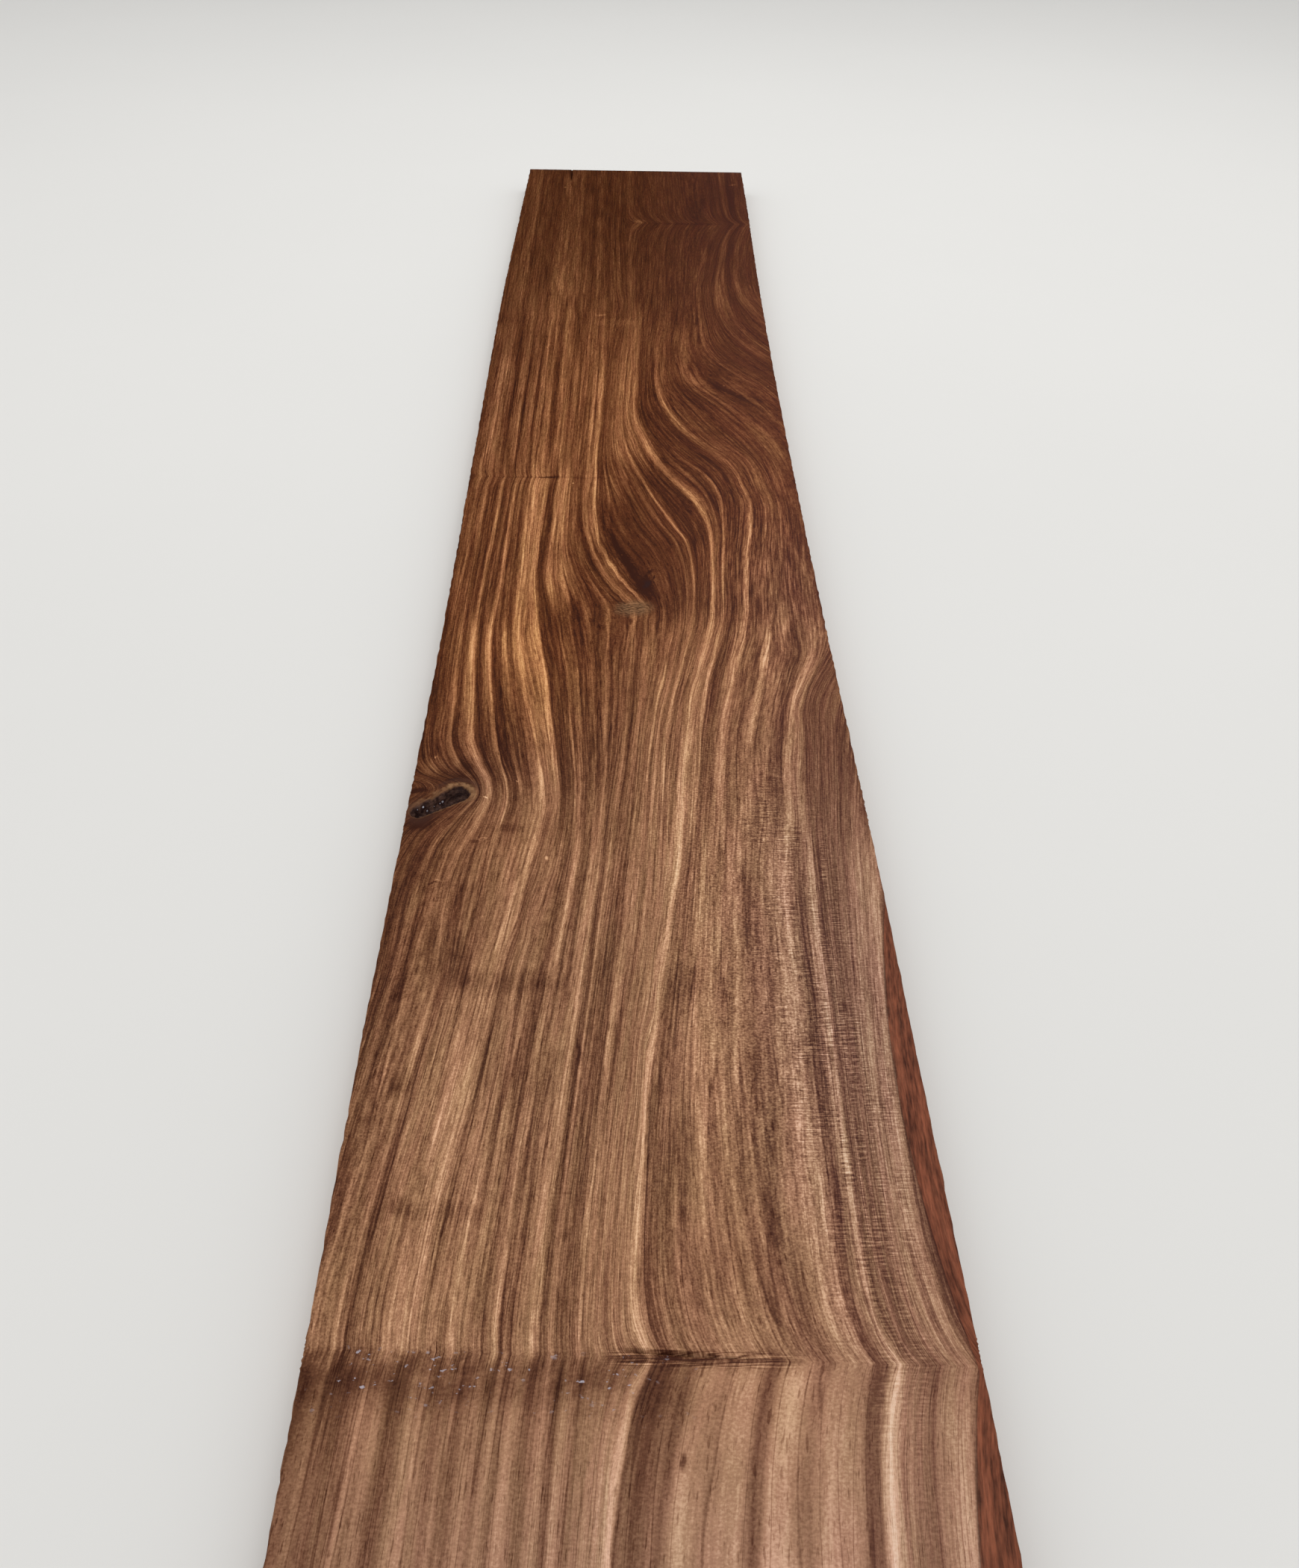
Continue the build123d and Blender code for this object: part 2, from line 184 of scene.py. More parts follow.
# Light and dark bands across the grain, (line number, tone from 0 dark to 1 light), one set for each stretch
BANDS = {
    "far": [
        (-126, 0.50), (-122, 0.55), (-116, 0.58), (-110, 0.62), (-106, 0.72), (-103.5, 0.42), (-99, 0.48),
        (-93, 0.42), (-90, 0.40), (-86, 0.48), (-82, 0.40), (-79, 0.58), (-72, 0.72), (-68, 0.64),
        (-64, 0.58), (-60, 0.70), (-57, 0.62), (-54, 0.48), (-50, 0.55), (-47, 0.50), (-44, 0.32),
        (-40, 0.50), (-37, 0.62), (-34, 0.48), (-30, 0.40), (-26, 0.46), (-23, 0.56), (-21, 0.42),
        (-18, 0.66), (-15, 0.33), (-12, 0.45), (-9, 0.50), (-6, 0.68), (-3.5, 0.60), (0, 0.48), (4, 0.43),
        (10, 0.38), (14, 0.50), (24, 0.48), (27, 0.56), (32, 0.40), (38, 0.46), (44, 0.50), (48, 0.40),
        (52, 0.48), (57, 0.64), (60, 0.50), (64, 0.38), (72, 0.50), (76, 0.44), (80, 0.26), (82, 0.40),
        (86, 0.78), (89, 0.72), (92, 0.58), (94.5, 0.68), (96.5, 0.36), (98, 0.24), (101, 0.28),
        (104, 0.45), (107, 0.70), (109, 0.60), (112, 0.48),
    ],
    "upper": [
        (-126, 0.42), (-120, 0.46), (-112, 0.52), (-106, 0.48), (-103, 0.40), (-101, 0.24), (-99, 0.46),
        (-97, 0.40), (-94, 0.62), (-91.5, 0.48), (-90, 0.32), (-86.5, 0.60), (-84, 0.44), (-82.5, 0.56),
        (-79, 0.45), (-76, 0.82), (-75, 0.54), (-73, 0.50), (-71, 0.72), (-69.5, 0.54), (-68.5, 0.30),
        (-65.5, 0.34), (-64, 0.50), (-62.5, 0.76), (-60, 0.64), (-58, 0.66), (-56, 0.40), (-50, 0.42),
        (-47, 0.36), (-44, 0.55), (-42, 0.64), (-40, 0.52), (-36, 0.70), (-35, 0.48), (-33, 0.44),
        (-31.5, 0.64), (-29.5, 0.62), (-28, 0.38), (-23, 0.50), (-20, 0.38), (-17, 0.45), (-12, 0.40),
        (-9, 0.60), (-1, 0.62), (3, 0.66), (6, 0.62), (8, 0.72), (10, 0.58), (13, 0.42), (18, 0.45),
        (22, 0.38), (26, 0.44), (28, 0.62), (30, 0.44), (33, 0.55), (36, 0.50), (39, 0.28), (42, 0.50),
        (45, 0.46), (48.5, 0.64), (50, 0.60), (51.5, 0.38), (53, 0.62), (55, 0.48), (56.5, 0.72),
        (60.5, 0.58), (62, 0.48), (70, 0.50), (74, 0.44), (79, 0.32), (84, 0.50), (88, 0.50), (92, 0.36),
        (95, 0.62), (98, 0.32), (102, 0.45), (112, 0.40),
    ],
    "middle": [
        (-126, 0.28), (-122, 0.30), (-118, 0.42), (-113, 0.62), (-111.5, 0.82), (-110.5, 0.34),
        (-109, 0.74), (-107.5, 0.50), (-104, 0.50), (-101.5, 0.20), (-98.5, 0.36), (-96, 0.56),
        (-92, 0.66), (-91, 0.30), (-89.5, 0.20), (-87.5, 0.50), (-85, 0.46), (-82.5, 0.58), (-80.5, 0.28),
        (-77, 0.64), (-75.5, 0.44), (-73, 0.55), (-70, 0.70), (-68.5, 0.30), (-66, 0.26), (-64.5, 0.32),
        (-63, 0.70), (-61.5, 0.74), (-60, 0.54), (-58, 0.68), (-55, 0.50), (-53, 0.42), (-51, 0.64),
        (-49, 0.60), (-46, 0.38), (-44, 0.64), (-42.5, 0.34), (-40.5, 0.72), (-39.5, 0.38), (-38, 0.52),
        (-36.5, 0.38), (-35, 0.78), (-33.5, 0.80), (-32, 0.32), (-30.5, 0.76), (-28.5, 0.92), (-27, 0.60),
        (-25.5, 0.34), (-20, 0.45), (-14, 0.52), (-7, 0.66), (-4, 0.68), (-3, 0.82), (-2, 0.42),
        (-1, 0.62), (1, 0.78), (3, 0.72), (4.5, 0.50), (6, 0.70), (7.5, 0.84), (9, 0.70), (10.5, 0.34),
        (13, 0.26), (16, 0.30), (18, 0.20), (20, 0.38), (23, 0.34), (25.5, 0.22), (27.5, 0.72),
        (28.7, 0.78), (30, 0.32), (32, 0.52), (36, 0.40), (43, 0.34), (47.5, 0.64), (49, 0.58),
        (51, 0.28), (53, 0.40), (60, 0.36), (70, 0.30),
    ],
    "core": [
        (-126, 0.28), (-122, 0.24), (-116, 0.46), (-113, 0.28), (-109, 0.58), (-107, 0.18), (-105, 0.44),
        (-101.5, 0.20), (-100, 0.70), (-98.5, 0.70), (-97, 0.34), (-95, 0.28), (-94, 0.52), (-90, 0.28),
        (-87, 0.90), (-86, 0.32), (-82.5, 0.58), (-81, 0.22), (-78.5, 0.66), (-77, 0.94), (-76, 0.68),
        (-74.5, 0.98), (-73, 0.70), (-70, 0.76), (-65, 0.78), (-64.4, 0.28), (-62, 0.30), (-58.5, 0.40),
        (-57, 0.78), (-55.5, 0.88), (-54, 0.62), (-49.5, 0.82), (-45.5, 0.62), (-44.5, 0.36), (-42, 0.52),
        (-39, 0.42), (-37, 0.22), (-36.3, 0.58), (-35, 0.72), (-30, 0.60), (-28.5, 0.82), (-27, 0.90),
        (-26.5, 0.20), (-25.6, 0.52), (-25.0, 0.22), (-22.2, 0.20), (-21.6, 0.58), (-21.0, 0.24),
        (-18.4, 0.24), (-17.8, 0.72), (-17.2, 0.26), (-13.3, 0.26), (-12.7, 0.76), (-12.1, 0.28),
        (-8.9, 0.28), (-8.3, 0.72), (-7.7, 0.28), (-4.7, 0.32), (-4, 0.86), (-3.3, 0.34), (-2.0, 0.20),
        (2, 0.20), (3, 0.34), (4, 0.18), (6, 0.20), (7.2, 0.78), (8.5, 0.88), (9.5, 0.56), (11, 0.34),
        (12, 0.52), (13, 0.34), (15.5, 0.38), (16.3, 0.82), (17, 0.42), (18, 0.28), (20, 0.32),
        (23, 0.26), (25, 0.52), (26, 0.28), (27.3, 0.72), (28, 0.96), (28.8, 0.78), (29.3, 0.32),
        (31, 0.34), (35, 0.58), (36, 0.44), (37, 0.62), (38.5, 0.38), (39.4, 0.58), (40.3, 0.36),
        (41.2, 0.60), (42, 0.38), (43, 0.58), (44, 0.34), (45, 0.54), (46, 0.30), (47, 0.50), (48, 0.28),
        (49, 0.40), (50, 0.24), (51.5, 0.40), (53, 0.26), (55, 0.40), (60, 0.28),
    ],
    "waist": [
        (-126, 0.28), (-122, 0.26), (-116, 0.36), (-112, 0.40), (-110.5, 0.74), (-109, 0.70),
        (-107.5, 0.32), (-106, 0.28), (-104.5, 0.60), (-102, 0.76), (-100.5, 0.90), (-98.5, 0.82),
        (-97, 0.32), (-95, 0.22), (-93, 0.50), (-91, 0.56), (-88.3, 0.90), (-87.6, 0.26), (-85.5, 0.36),
        (-84.5, 0.18), (-83.5, 0.62), (-81.5, 0.56), (-80, 0.30), (-78, 0.60), (-74.5, 0.98),
        (-73.6, 0.34), (-73, 0.70), (-71, 0.62), (-67, 0.88), (-65.3, 0.78), (-64.9, 0.22), (-62, 0.26),
        (-57, 0.38), (-55.6, 0.38), (-55, 0.80), (-54.4, 0.42), (-51.5, 0.50), (-50.3, 0.64),
        (-49.9, 0.28), (-46, 0.52), (-45.3, 0.70), (-44.8, 0.26), (-43, 0.40), (-41.7, 0.66), (-41, 0.20),
        (-40, 0.28), (-39.2, 0.80), (-38.8, 0.32), (-36.6, 0.62), (-36, 0.36), (-34.5, 0.68), (-33, 0.55),
        (-31.5, 0.32), (-30, 0.40), (-27, 0.66), (-26, 0.48), (-24, 0.62), (-20, 0.48), (-17, 0.78),
        (-15, 0.46), (-12, 0.74), (-9, 0.52), (-4, 0.82), (-2, 0.48), (1, 0.62), (4, 0.48), (7.5, 0.88),
        (9.5, 0.82), (11, 0.66), (14, 0.58), (16, 0.90), (17, 0.76), (18, 0.42), (21, 0.38), (26, 0.60),
        (27.7, 0.90), (28.7, 0.72), (29.5, 0.42), (31, 0.56), (33, 0.42), (35, 0.80), (36.2, 0.74),
        (37, 0.42), (39, 0.66), (41, 0.38), (42.5, 0.32), (44, 0.50), (46, 0.86), (49, 0.60), (51, 0.74),
        (52.4, 0.40), (53.6, 0.54), (55, 0.28), (57, 0.44), (59, 0.28), (61, 0.44), (63, 0.30),
        (66, 0.48), (70, 0.30), (73, 0.44), (76, 0.34), (80, 0.46), (84, 0.34),
    ],
    "near": [
        (-126, 0.28), (-112, 0.30), (-110, 0.52), (-107.5, 0.32), (-105, 0.64), (-103, 0.48),
        (-100, 0.72), (-98.7, 0.34), (-95, 0.56), (-91, 0.60), (-87, 0.52), (-83, 0.62), (-76, 0.74),
        (-73.5, 0.62), (-72, 0.42), (-69, 0.58), (-66, 0.54), (-63.5, 0.72), (-61.5, 0.44), (-60, 0.62),
        (-58, 0.54), (-55, 0.38), (-53, 0.56), (-51.5, 0.78), (-50, 0.36), (-48.5, 0.62), (-47, 0.32),
        (-45, 0.60), (-39, 0.72), (-37, 0.38), (-35, 0.28), (-33.5, 0.62), (-31, 0.45), (-25, 0.38),
        (-22, 0.60), (-19, 0.64), (-16, 0.54), (-12, 0.62), (-8, 0.54), (-4, 0.62), (4, 0.60),
        (7.5, 0.88), (8.6, 0.94), (10, 0.76), (11.5, 0.44), (17, 0.42), (20, 0.48), (24, 0.54),
        (25.5, 0.64), (28, 0.46), (31, 0.56), (33, 0.50), (36.5, 0.40), (38, 0.42), (40.5, 0.60),
        (42, 0.78), (43.5, 0.68), (45, 0.80), (46.5, 0.52), (48.5, 0.32), (50, 0.42), (52, 0.64),
        (55, 0.86), (57, 0.74), (58, 0.42), (62, 0.38), (66, 0.52), (70, 0.36), (75, 0.42), (80, 0.38),
        (84, 0.52), (88, 0.50), (92, 0.62), (96, 0.60), (100, 0.72), (102, 0.62), (104, 0.28),
        (112, 0.30),
    ],
    "last": [
        (-126, 0.22), (-104, 0.28), (-102.5, 0.46), (-100.5, 0.42), (-97, 0.32), (-90, 0.38), (-86, 0.56),
        (-84, 0.38), (-82, 0.56), (-78.5, 0.28), (-74, 0.36), (-72, 0.56), (-69, 0.60), (-66, 0.50),
        (-64, 0.40), (-59.5, 0.56), (-57.5, 0.33), (-55, 0.62), (-53, 0.55), (-50.5, 0.38), (-48, 0.66),
        (-46, 0.33), (-44, 0.60), (-42, 0.62), (-38, 0.34), (-35.5, 0.45), (-32, 0.62), (-29, 0.40),
        (-27, 0.28), (-25.5, 0.62), (-22, 0.55), (-19, 0.38), (-16.5, 0.52), (-12, 0.50), (-8, 0.60),
        (-4, 0.55), (-1, 0.66), (3, 0.62), (6, 0.70), (8, 0.82), (9.3, 0.66), (10, 0.22), (12, 0.35),
        (14, 0.22), (17, 0.35), (19, 0.28), (20, 0.62), (22, 0.62), (24, 0.50), (28, 0.72), (29.5, 0.50),
        (31, 0.22), (32, 0.72), (34, 0.80), (36, 0.66), (38, 0.50), (40, 0.72), (44, 0.60), (46, 0.55),
        (47.5, 0.28), (49.5, 0.28), (51.5, 0.66), (54, 0.94), (56.5, 0.82), (60, 0.62), (64, 0.50),
        (68, 0.56), (72, 0.44), (76, 0.50), (84, 0.38), (87, 0.34), (90, 0.56), (94, 0.62), (98, 0.72),
        (100.5, 0.62), (103, 0.38), (112, 0.34),
    ],
}
BAND_RANGE = (-130.0, 130.0)
# Where one stretch gives way to the next: (from y, to y)
STRETCH_JOINTS = [(490, 400), (375, 285), (150, 80), (-75, -125), (-250, -350), (-598, -614)]
# How strong each stretch's bands are, and how much they fade and come back along the grain
BAND_CONTRAST = {"far": 0.95, "upper": 0.95, "middle": 1.0, "core": 1.05, "waist": 1.1, "near": 1.05,
                 "last": 1.15}
MIDDLE_TONE = 0.48
BAND_FADES = ((4.0, 90.0, 9.0), 0.24, 0.75, 1.2)
# The most stops that one ramp takes
RAMP_STOPS = 32

# Marks that change the tone: (x, y, half width, half length, angle, tone change)
MARKS = [
    (6.5, -61, 6.5, 14, -10, -0.20),
    (-81.4, -317.7, 2.8, 1.8, 0, 0.22),
    (-81.4, -318.0, 1.3, 0.9, 0, -0.34),
    (-82, -284, 0.7, 2.3, 54, 0.60),
    (9.5, -45, 2.0, 9, -25, -0.22),
    (12.8, -50, 1.0, 3.5, -20, -0.45),
    (-2.5, -106, 1.6, 6, -4, -0.34),
    (-116, -305, 12, 9, -20, -0.30),
    (-121, -279, 8, 3, 12, -0.34),
    (-102.7, -268, 5.0, 1.3, 20, -0.50),
    (-94, -266, 7.0, 2.2, -30, -0.22),
    (-67, -309, 9, 5, 0, -0.16),
    (-86, -319, 3.5, 2.2, 0, -0.22),
    (14, -642, 2.0, 4.5, 0, -0.40),
    (-27, -462, 1.6, 10, 4, -0.26),
    (21, -420, 12, 18, 0, -0.12),
    (-85, -408, 6, 26, 5, -0.20),
    (-100, -400, 5, 40, 8, -0.12),
    (-62, -419, 40, 11, 0, -0.13),
    (-97, -540, 7, 6, 0, -0.20),
    (-78, -543, 26, 7, 0, -0.08),
    (-82, -488, 17, 62, 6, 0.13),
    (-9, -21.6, 1.2, 1.2, 0, 0.50),
    (-46, 85, 1.5, 1.5, 0, 0.50),
    (115, 268, 1.2, 1.2, 0, 0.50),
    (77, 267, 1.2, 1.2, 0, 0.50),
    (-66.6, -270, 1.0, 1.2, 0, 0.50),
    (-113.7, -249.5, 1.1, 1.4, 0, 0.34),
    (-47, -333, 1.4, 2.0, 0, 0.50),
    (-104, -352, 3.4, 1.0, 8, -0.26),
    (-101, -350.4, 3.0, 0.8, -14, 0.22),
    (119, 848, 7, 3, 15, 0.45),
    (-77, 828, 1.8, 5, 0, 0.40),
    (-30, 427, 6, 4, 20, 0.30),
    (-16, 410, 26, 14, 0, 0.12),
    (10, 708, 9, 9, 0, 0.22),
    (62, 701, 55, 5, 0, -0.16),
    (40, 44, 2.2, 3.5, 0, -0.20),
    (-72, 888, 4, 26, 0, -0.38),
    (-60, 94.5, 62, 2.5, 0, -0.10),
    (-65, 94.5, 11, 1.6, 4, -0.34),
]
# Wide soft shades, given like the marks
SHADES = [
    (-96, 720, 22, 230, 0, 0.14),
    (80, 800, 22, 230, -4, -0.19),
    (116, 800, 16, 180, -3, -0.26),
    (-36, 700, 16, 44, 0, 0.14),
    (-50, 560, 100, 200, 0, 0.10),
    (102, 800, 34, 170, 0, -0.08),
    (58, 240, 34, 80, 20, -0.08),
    (-16, 80, 20, 46, 0, 0.24),
    (20, -606, 46, 16, 0, 0.14),
    (84, 800, 10, 150, -3, -0.08),
    (34, -425, 9, 70, 5, -0.05),
    (56, 380, 16, 30, 10, -0.10),
    (104, 330, 26, 90, 20, -0.09),
    (50, 285, 16, 34, 20, 0.12),
    (-80, 220, 36, 120, 0, 0.08),
    (78, 645, 14, 60, 0, -0.20),
    (54, 80, 18, 50, 10, -0.12),
    (50, 235, 30, 56, 20, -0.09),
    (97, -98, 9, 26, 0, 0.15),
    (-82, -140, 18, 64, 0, 0.09),
    (-96, -632, 11, 30, 0, 0.14),
    (100, -628, 26, 20, 0, 0.08),
    (80, 300, 36, 54, 20, -0.07),
    (50, 130, 15, 76, 12, -0.13),
    (-24, -22, 16, 30, -15, -0.18),
    (60, -320, 24, 64, 0, 0.12),
    (98, -520, 14, 150, 0, 0.09),
    (50, -656, 13, 26, 0, -0.14),
    (114, -130, 12, 36, 0, -0.20),
    (113, 130, 12, 70, 10, -0.10),
    (-114, -257, 10, 14, 0, 0.24),
    (-96, -258, 7, 14, -20, -0.24),
    (-88, -262, 24, 24, 0, -0.08),
    (-74, -140, 36, 60, 0, 0.09),
    (-84, 470, 34, 130, 0, 0.06),
    (54, 425, 40, 110, 15, -0.14),
    (104, 400, 30, 90, 30, -0.12),
    (72, 330, 42, 70, 0, -0.12),
    (80, 240, 46, 110, 25, -0.12),
    (40, 195, 28, 70, 15, -0.12),
    (64, 140, 24, 50, 20, -0.08),
    (20, 115, 36, 50, 0, -0.08),
    (-118, 60, 26, 260, 0, 0.09),
    (-100, 0, 60, 190, 0, 0.05),
    (60, -15, 50, 90, -10, 0.12),
    (-44, -86, 22, 60, -10, -0.25),
    (-14, -60, 22, 60, -20, -0.10),
    (2, -85, 22, 50, 0, -0.15),
    (40, -60, 40, 50, 0, 0.06),
    (-82, -240, 46, 60, -10, -0.14),
    (-84, -400, 50, 160, 5, -0.08),
    (36, -440, 40, 240, 5, 0.13),
    (110, -440, 30, 260, 0, 0.06),
    (0, -690, 300, 130, 0, 0.14),
    (-114, -540, 20, 90, 0, -0.12),
    (100, -650, 50, 50, 0, 0.06),
]
# Wide soft tints: (x, y, half width, half length, angle, red, green and blue share). The two strongly bluish
# ones, over the near end and the right of the nearer half, are painted reflection of the sky in the face's
# sheen.
TINTS_AND_SKY_SHEEN = [
    (-118, 280, 60, 320, 0, (0.97, 1.0, 1.11)),
    (-96, -272, 26, 34, 0, (0.96, 1.0, 1.06)),
    (-58, -165, 60, 150, 0, (1.03, 1.0, 0.88)),
    (104, -40, 60, 160, 0, (0.98, 1.0, 1.10)),
    (104, -440, 80, 300, 0, (0.94, 1.02, 1.20)),
    (0, -700, 400, 140, 0, (0.97, 1.04, 1.22)),
    (-80, -270, 70, 60, 0, (0.97, 1.0, 1.08)),
]


def srgb(red, green, blue):
    """A colour as a paint chart gives it, 0 to 255, in the linear numbers that shaders take."""
    def linear(value):
        share = value / 255
        return share / 12.92 if share <= 0.04045 else ((share + 0.055) / 1.055) ** 2.4
    return (linear(red), linear(green), linear(blue), 1.0)


# Tone to colour, from dark to light, for the far, middle and near thirds of the board. Tones reach past 1.
TONE_REACH = 1.3
# The far palette is darker and redder: partly the wood's own colour, partly painted shade where the face
# shows no sheen.
FAR_WOOD_AND_SHADE_TONES = [(0.0, srgb(44, 16, 4)), (0.3, srgb(62, 28, 9)), (0.5, srgb(76, 38, 15)),
             (0.75, srgb(100, 59, 32)), (1.0, srgb(140, 92, 58)), (1.3, srgb(172, 120, 80))]
MIDDLE_TONES = [(0.0, srgb(50, 18, 4)), (0.3, srgb(86, 43, 18)), (0.5, srgb(114, 68, 38)),
                (0.75, srgb(152, 99, 62)), (1.0, srgb(201, 143, 95)), (1.3, srgb(238, 184, 132))]
# The near palette is paler and greyer: painted sheen over the wood's own colour.
NEAR_WOOD_AND_SHEEN_TONES = [(0.0, srgb(60, 28, 14)), (0.3, srgb(103, 65, 43)), (0.5, srgb(137, 96, 68)),
              (0.75, srgb(177, 131, 97)), (1.0, srgb(223, 177, 138)), (1.3, srgb(250, 212, 176))]
PURPLE_BROWN = srgb(118, 72, 66)
# Streaks drift between these two tints
OLIVE_TINT = (0.97, 1.0, 0.95, 1.0)
RED_TINT = (1.04, 0.99, 1.02, 1.0)
CURLY_GREY = srgb(142, 104, 72)
STRIP_RED = srgb(146, 84, 60)
STRIP_RED_DARK = srgb(54, 25, 18)
RESIN_BLACK = srgb(46, 30, 28)
RESIN_BROWN = srgb(96, 70, 60)
RESIN_GLINT = srgb(186, 180, 190)
# Colour of the painted highlights on the resin in the knot hole
PAINTED_GLINT_WHITE = srgb(205, 203, 212)
KNOT_RIM = srgb(150, 112, 78)
KNOT_CORE = srgb(46, 24, 22)
KNOT_ARC = srgb(68, 41, 31)
CURLY_DARK = srgb(78, 54, 34)
SAWN_DUST = srgb(150, 112, 82)
END_BROWN = srgb(86, 56, 38)
FLOOR_PALE = srgb(226, 225, 222)

# A size so large that a noise stays the same in that direction
ENDLESS = 1000.0

# The dark core at the end of the swirl and the curly patch below it: (x, y, half width, half length, angle)
CORE_AT = (7.5, -60, 3.6, 8.5, -12)
CURLY_AT = (-1, -90, 17, 13, 10)
CURL_SIZES = (11.0, 8.0, ENDLESS)
CURL_SWELL = 18.0
CURL_SPACING = 1.4

# How far the lines stray from the grain field, and over what lengths
WANDER = 1.1
WANDER_SIZES = (16.0, 90.0, 30.0)
# The wide-spaced lines round the middle, where the fine noise is weaker:
# (x, y, half width, half length, angle)
CALM_AT = (14, 8, 46, 120, 14)
CALM_SHARE = 0.35
# How strong the fine noise is between the strongest kink and the near end
NEAR_END_SHARE = 0.4
# Extra fine lines where the field's numbers lie far apart: sizes, how soon they saturate, amount, place
SPREAD_LINES = ((0.5, 26.0, 1.2), 0.17, 0.20, (84, -60, 70, 260, 0))
# Noises that draw the fine lines: (sizes across, along and through the grain), how soon they saturate, amount
LINE_NOISES = [
    ((9.0, 260.0, 14.0), 0.25, 0.03),
    ((3.0, 130.0, 5.0), 0.18, 0.05),
    ((1.5, 80.0, 3.0), 0.17, 0.09),
    ((0.85, 40.0, 1.5), 0.17, 0.11),
    ((0.45, 9.0, 0.8), 0.18, 0.08),
    ((1.4, 5.0, 1.2), 0.20, 0.05),
    ((0.32, 0.9, 0.5), 0.22, 0.09),
]
# Stipple of short grains, strongest where the planer tore them: sizes, amount elsewhere and there, place
STIPPLE_SIZES = (1.5, 1.1, ENDLESS)
STIPPLE_AMOUNTS = (0.06, 0.16)
STIPPLE_AT = (60, -400, 85, 300, 5)
# Thin dark lines that end the growth rings: sizes, half width, amount
DARK_THREADS = ((3.6, 240.0, 8.0), 0.026, -0.20)
# Fine cross ripple: sizes, amount, and where it lies (x, y, half width, half length, angle)
RIPPLE_SIZES = (9.0, 0.85, ENDLESS)
RIPPLE_AMOUNT = 0.50
RIPPLE_AT = (84, -430, 34, 270, 3)

# Where one palette gives way to the next, and where the purplish brown sets in. The near palette's painted
# sheen grows towards the near end and the right.
FAR_TO_MIDDLE = (620.0, 230.0)
MIDDLE_TO_SHEEN = (-20.0, -440.0)
PURPLE_FROM_TO = (-30.0, 130.0)
PURPLE_SHARE = 0.16
# Growth rings at the ends: where the pith lies, and half of one ring's width
PITH_AT = (-60.0, 0.0, -170.0)
HALF_RING = 2.6
SAW_SLANT = math.radians(4)
DUST_SHARE = 0.35
# Specular level and bump height, in millimetres, of the planed face and of the sawn surfaces
PLANED_SHINE, SAWN_SHINE = 0.06, 0.2
PLANED_BUMP, SAWN_BUMP, END_BUMP = 0.08, 0.3, 0.25

# The mesh's grid over both faces, and where it is denser: (from, to, step). The last row stretch puts a row
# at y 0, where the bake layout parts.
COLUMN_STEP = 7.0
ROW_STEP = 4.0
CLOSER_COLUMNS = [(-125.0, -88.0, 1.25), (-75.5, -66.5, 0.6), (100.0, 125.0, 2.0)]
CLOSER_ROWS = [(-318.0, -262.0, 1.25), (-640.0, -575.0, 3.0), (-609.0, -596.0, 0.5), (92.5, 96.5, 0.35),
               (675.0, 735.0, 3.0), (0.0, 4.0, 4.0)]
WALL_RINGS = 6
EDGE_BLEND = 30.0
PLANER_WAVE = 0.12
SAW_FUZZ = 0.5
EDGE_RAG = 0.3
RING_TILT = 0.5
PLANED_FACE, UNDERSIDE, RIPPED_EDGE, END_GRAIN = range(4)

# The bake layout's square, in the same millimetres as the board
BAKE_SIDE = 925.0
BAKE_GAP = 5.0

# Camera, light and floor, in metres
PHOTO_HEIGHT = 2100
FOCAL_PIXELS = 1850
SENSOR = 36.0
CAMERA_AT = Vector((-0.01407, -0.86308, 0.50877))
CAMERA_PITCH = math.radians(39.27)
CAMERA_YAW = math.radians(1.646)
CAMERA_ROLL = math.radians(1.397)
FLOOR_SIDE = 16.0
DOME = [(0.0, 0.70), (0.35, 0.76), (1.0, 0.95)]
DOME_STRENGTH = 1.03
FLAG_AT = (0.0, 5.0, 2.3)
FLAG_SIZE = (11.0, 4.4)
FLAG_GREY = srgb(40, 38, 36)
SOFTBOX_AT = (0.3, 1.2, 2.3)
SOFTBOX_AIM = (0.0, -0.35, 0.0)
SOFTBOX_SIDE = 1.4
SOFTBOX_WATTS = 20.0


def smooth_steps(value, start, end):
    """0 up to start, 1 past end, smooth between."""
    share = np.clip((value - start) / (end - start), 0, 1)
    return share * share * (3 - 2 * share)


def hermite(places, values, slopes, asked):
    """The cubic through the values with these slopes, at the asked places."""
    i = np.clip(np.searchsorted(places, asked) - 1, 0, len(places) - 2)
    run = places[i + 1] - places[i]
    t = np.clip((asked - places[i]) / run, 0, 1)
    start = (1 + 2 * t) * (1 - t) ** 2 * values[i] + t * (1 - t) ** 2 * run * slopes[i]
    end = t * t * (3 - 2 * t) * values[i + 1] + t * t * (t - 1) * run * slopes[i + 1]
    return start + end


def flowing(points, asked):
    """A smooth line through given (place, value) points, in either order."""
    places, values = np.array(sorted(points), float).T
    runs = np.diff(places)
    rises = np.diff(values) / runs
    slopes = np.empty_like(values)
    slopes[1:-1] = (rises[:-1] * runs[1:] + rises[1:] * runs[:-1]) / (runs[:-1] + runs[1:])
    slopes[0], slopes[-1] = rises[0], rises[-1]
    return hermite(places, values, slopes, asked)


def rising(places, values, asked):
    """A line through rising values that never turns back between them."""
    runs = np.diff(places)
    rises = np.diff(values) / runs
    slopes = np.empty_like(values)
    slopes[1:-1] = 2 * rises[:-1] * rises[1:] / (rises[:-1] + rises[1:])
    slopes[0], slopes[-1] = rises[0], rises[-1]
    return hermite(places, values, slopes, asked)


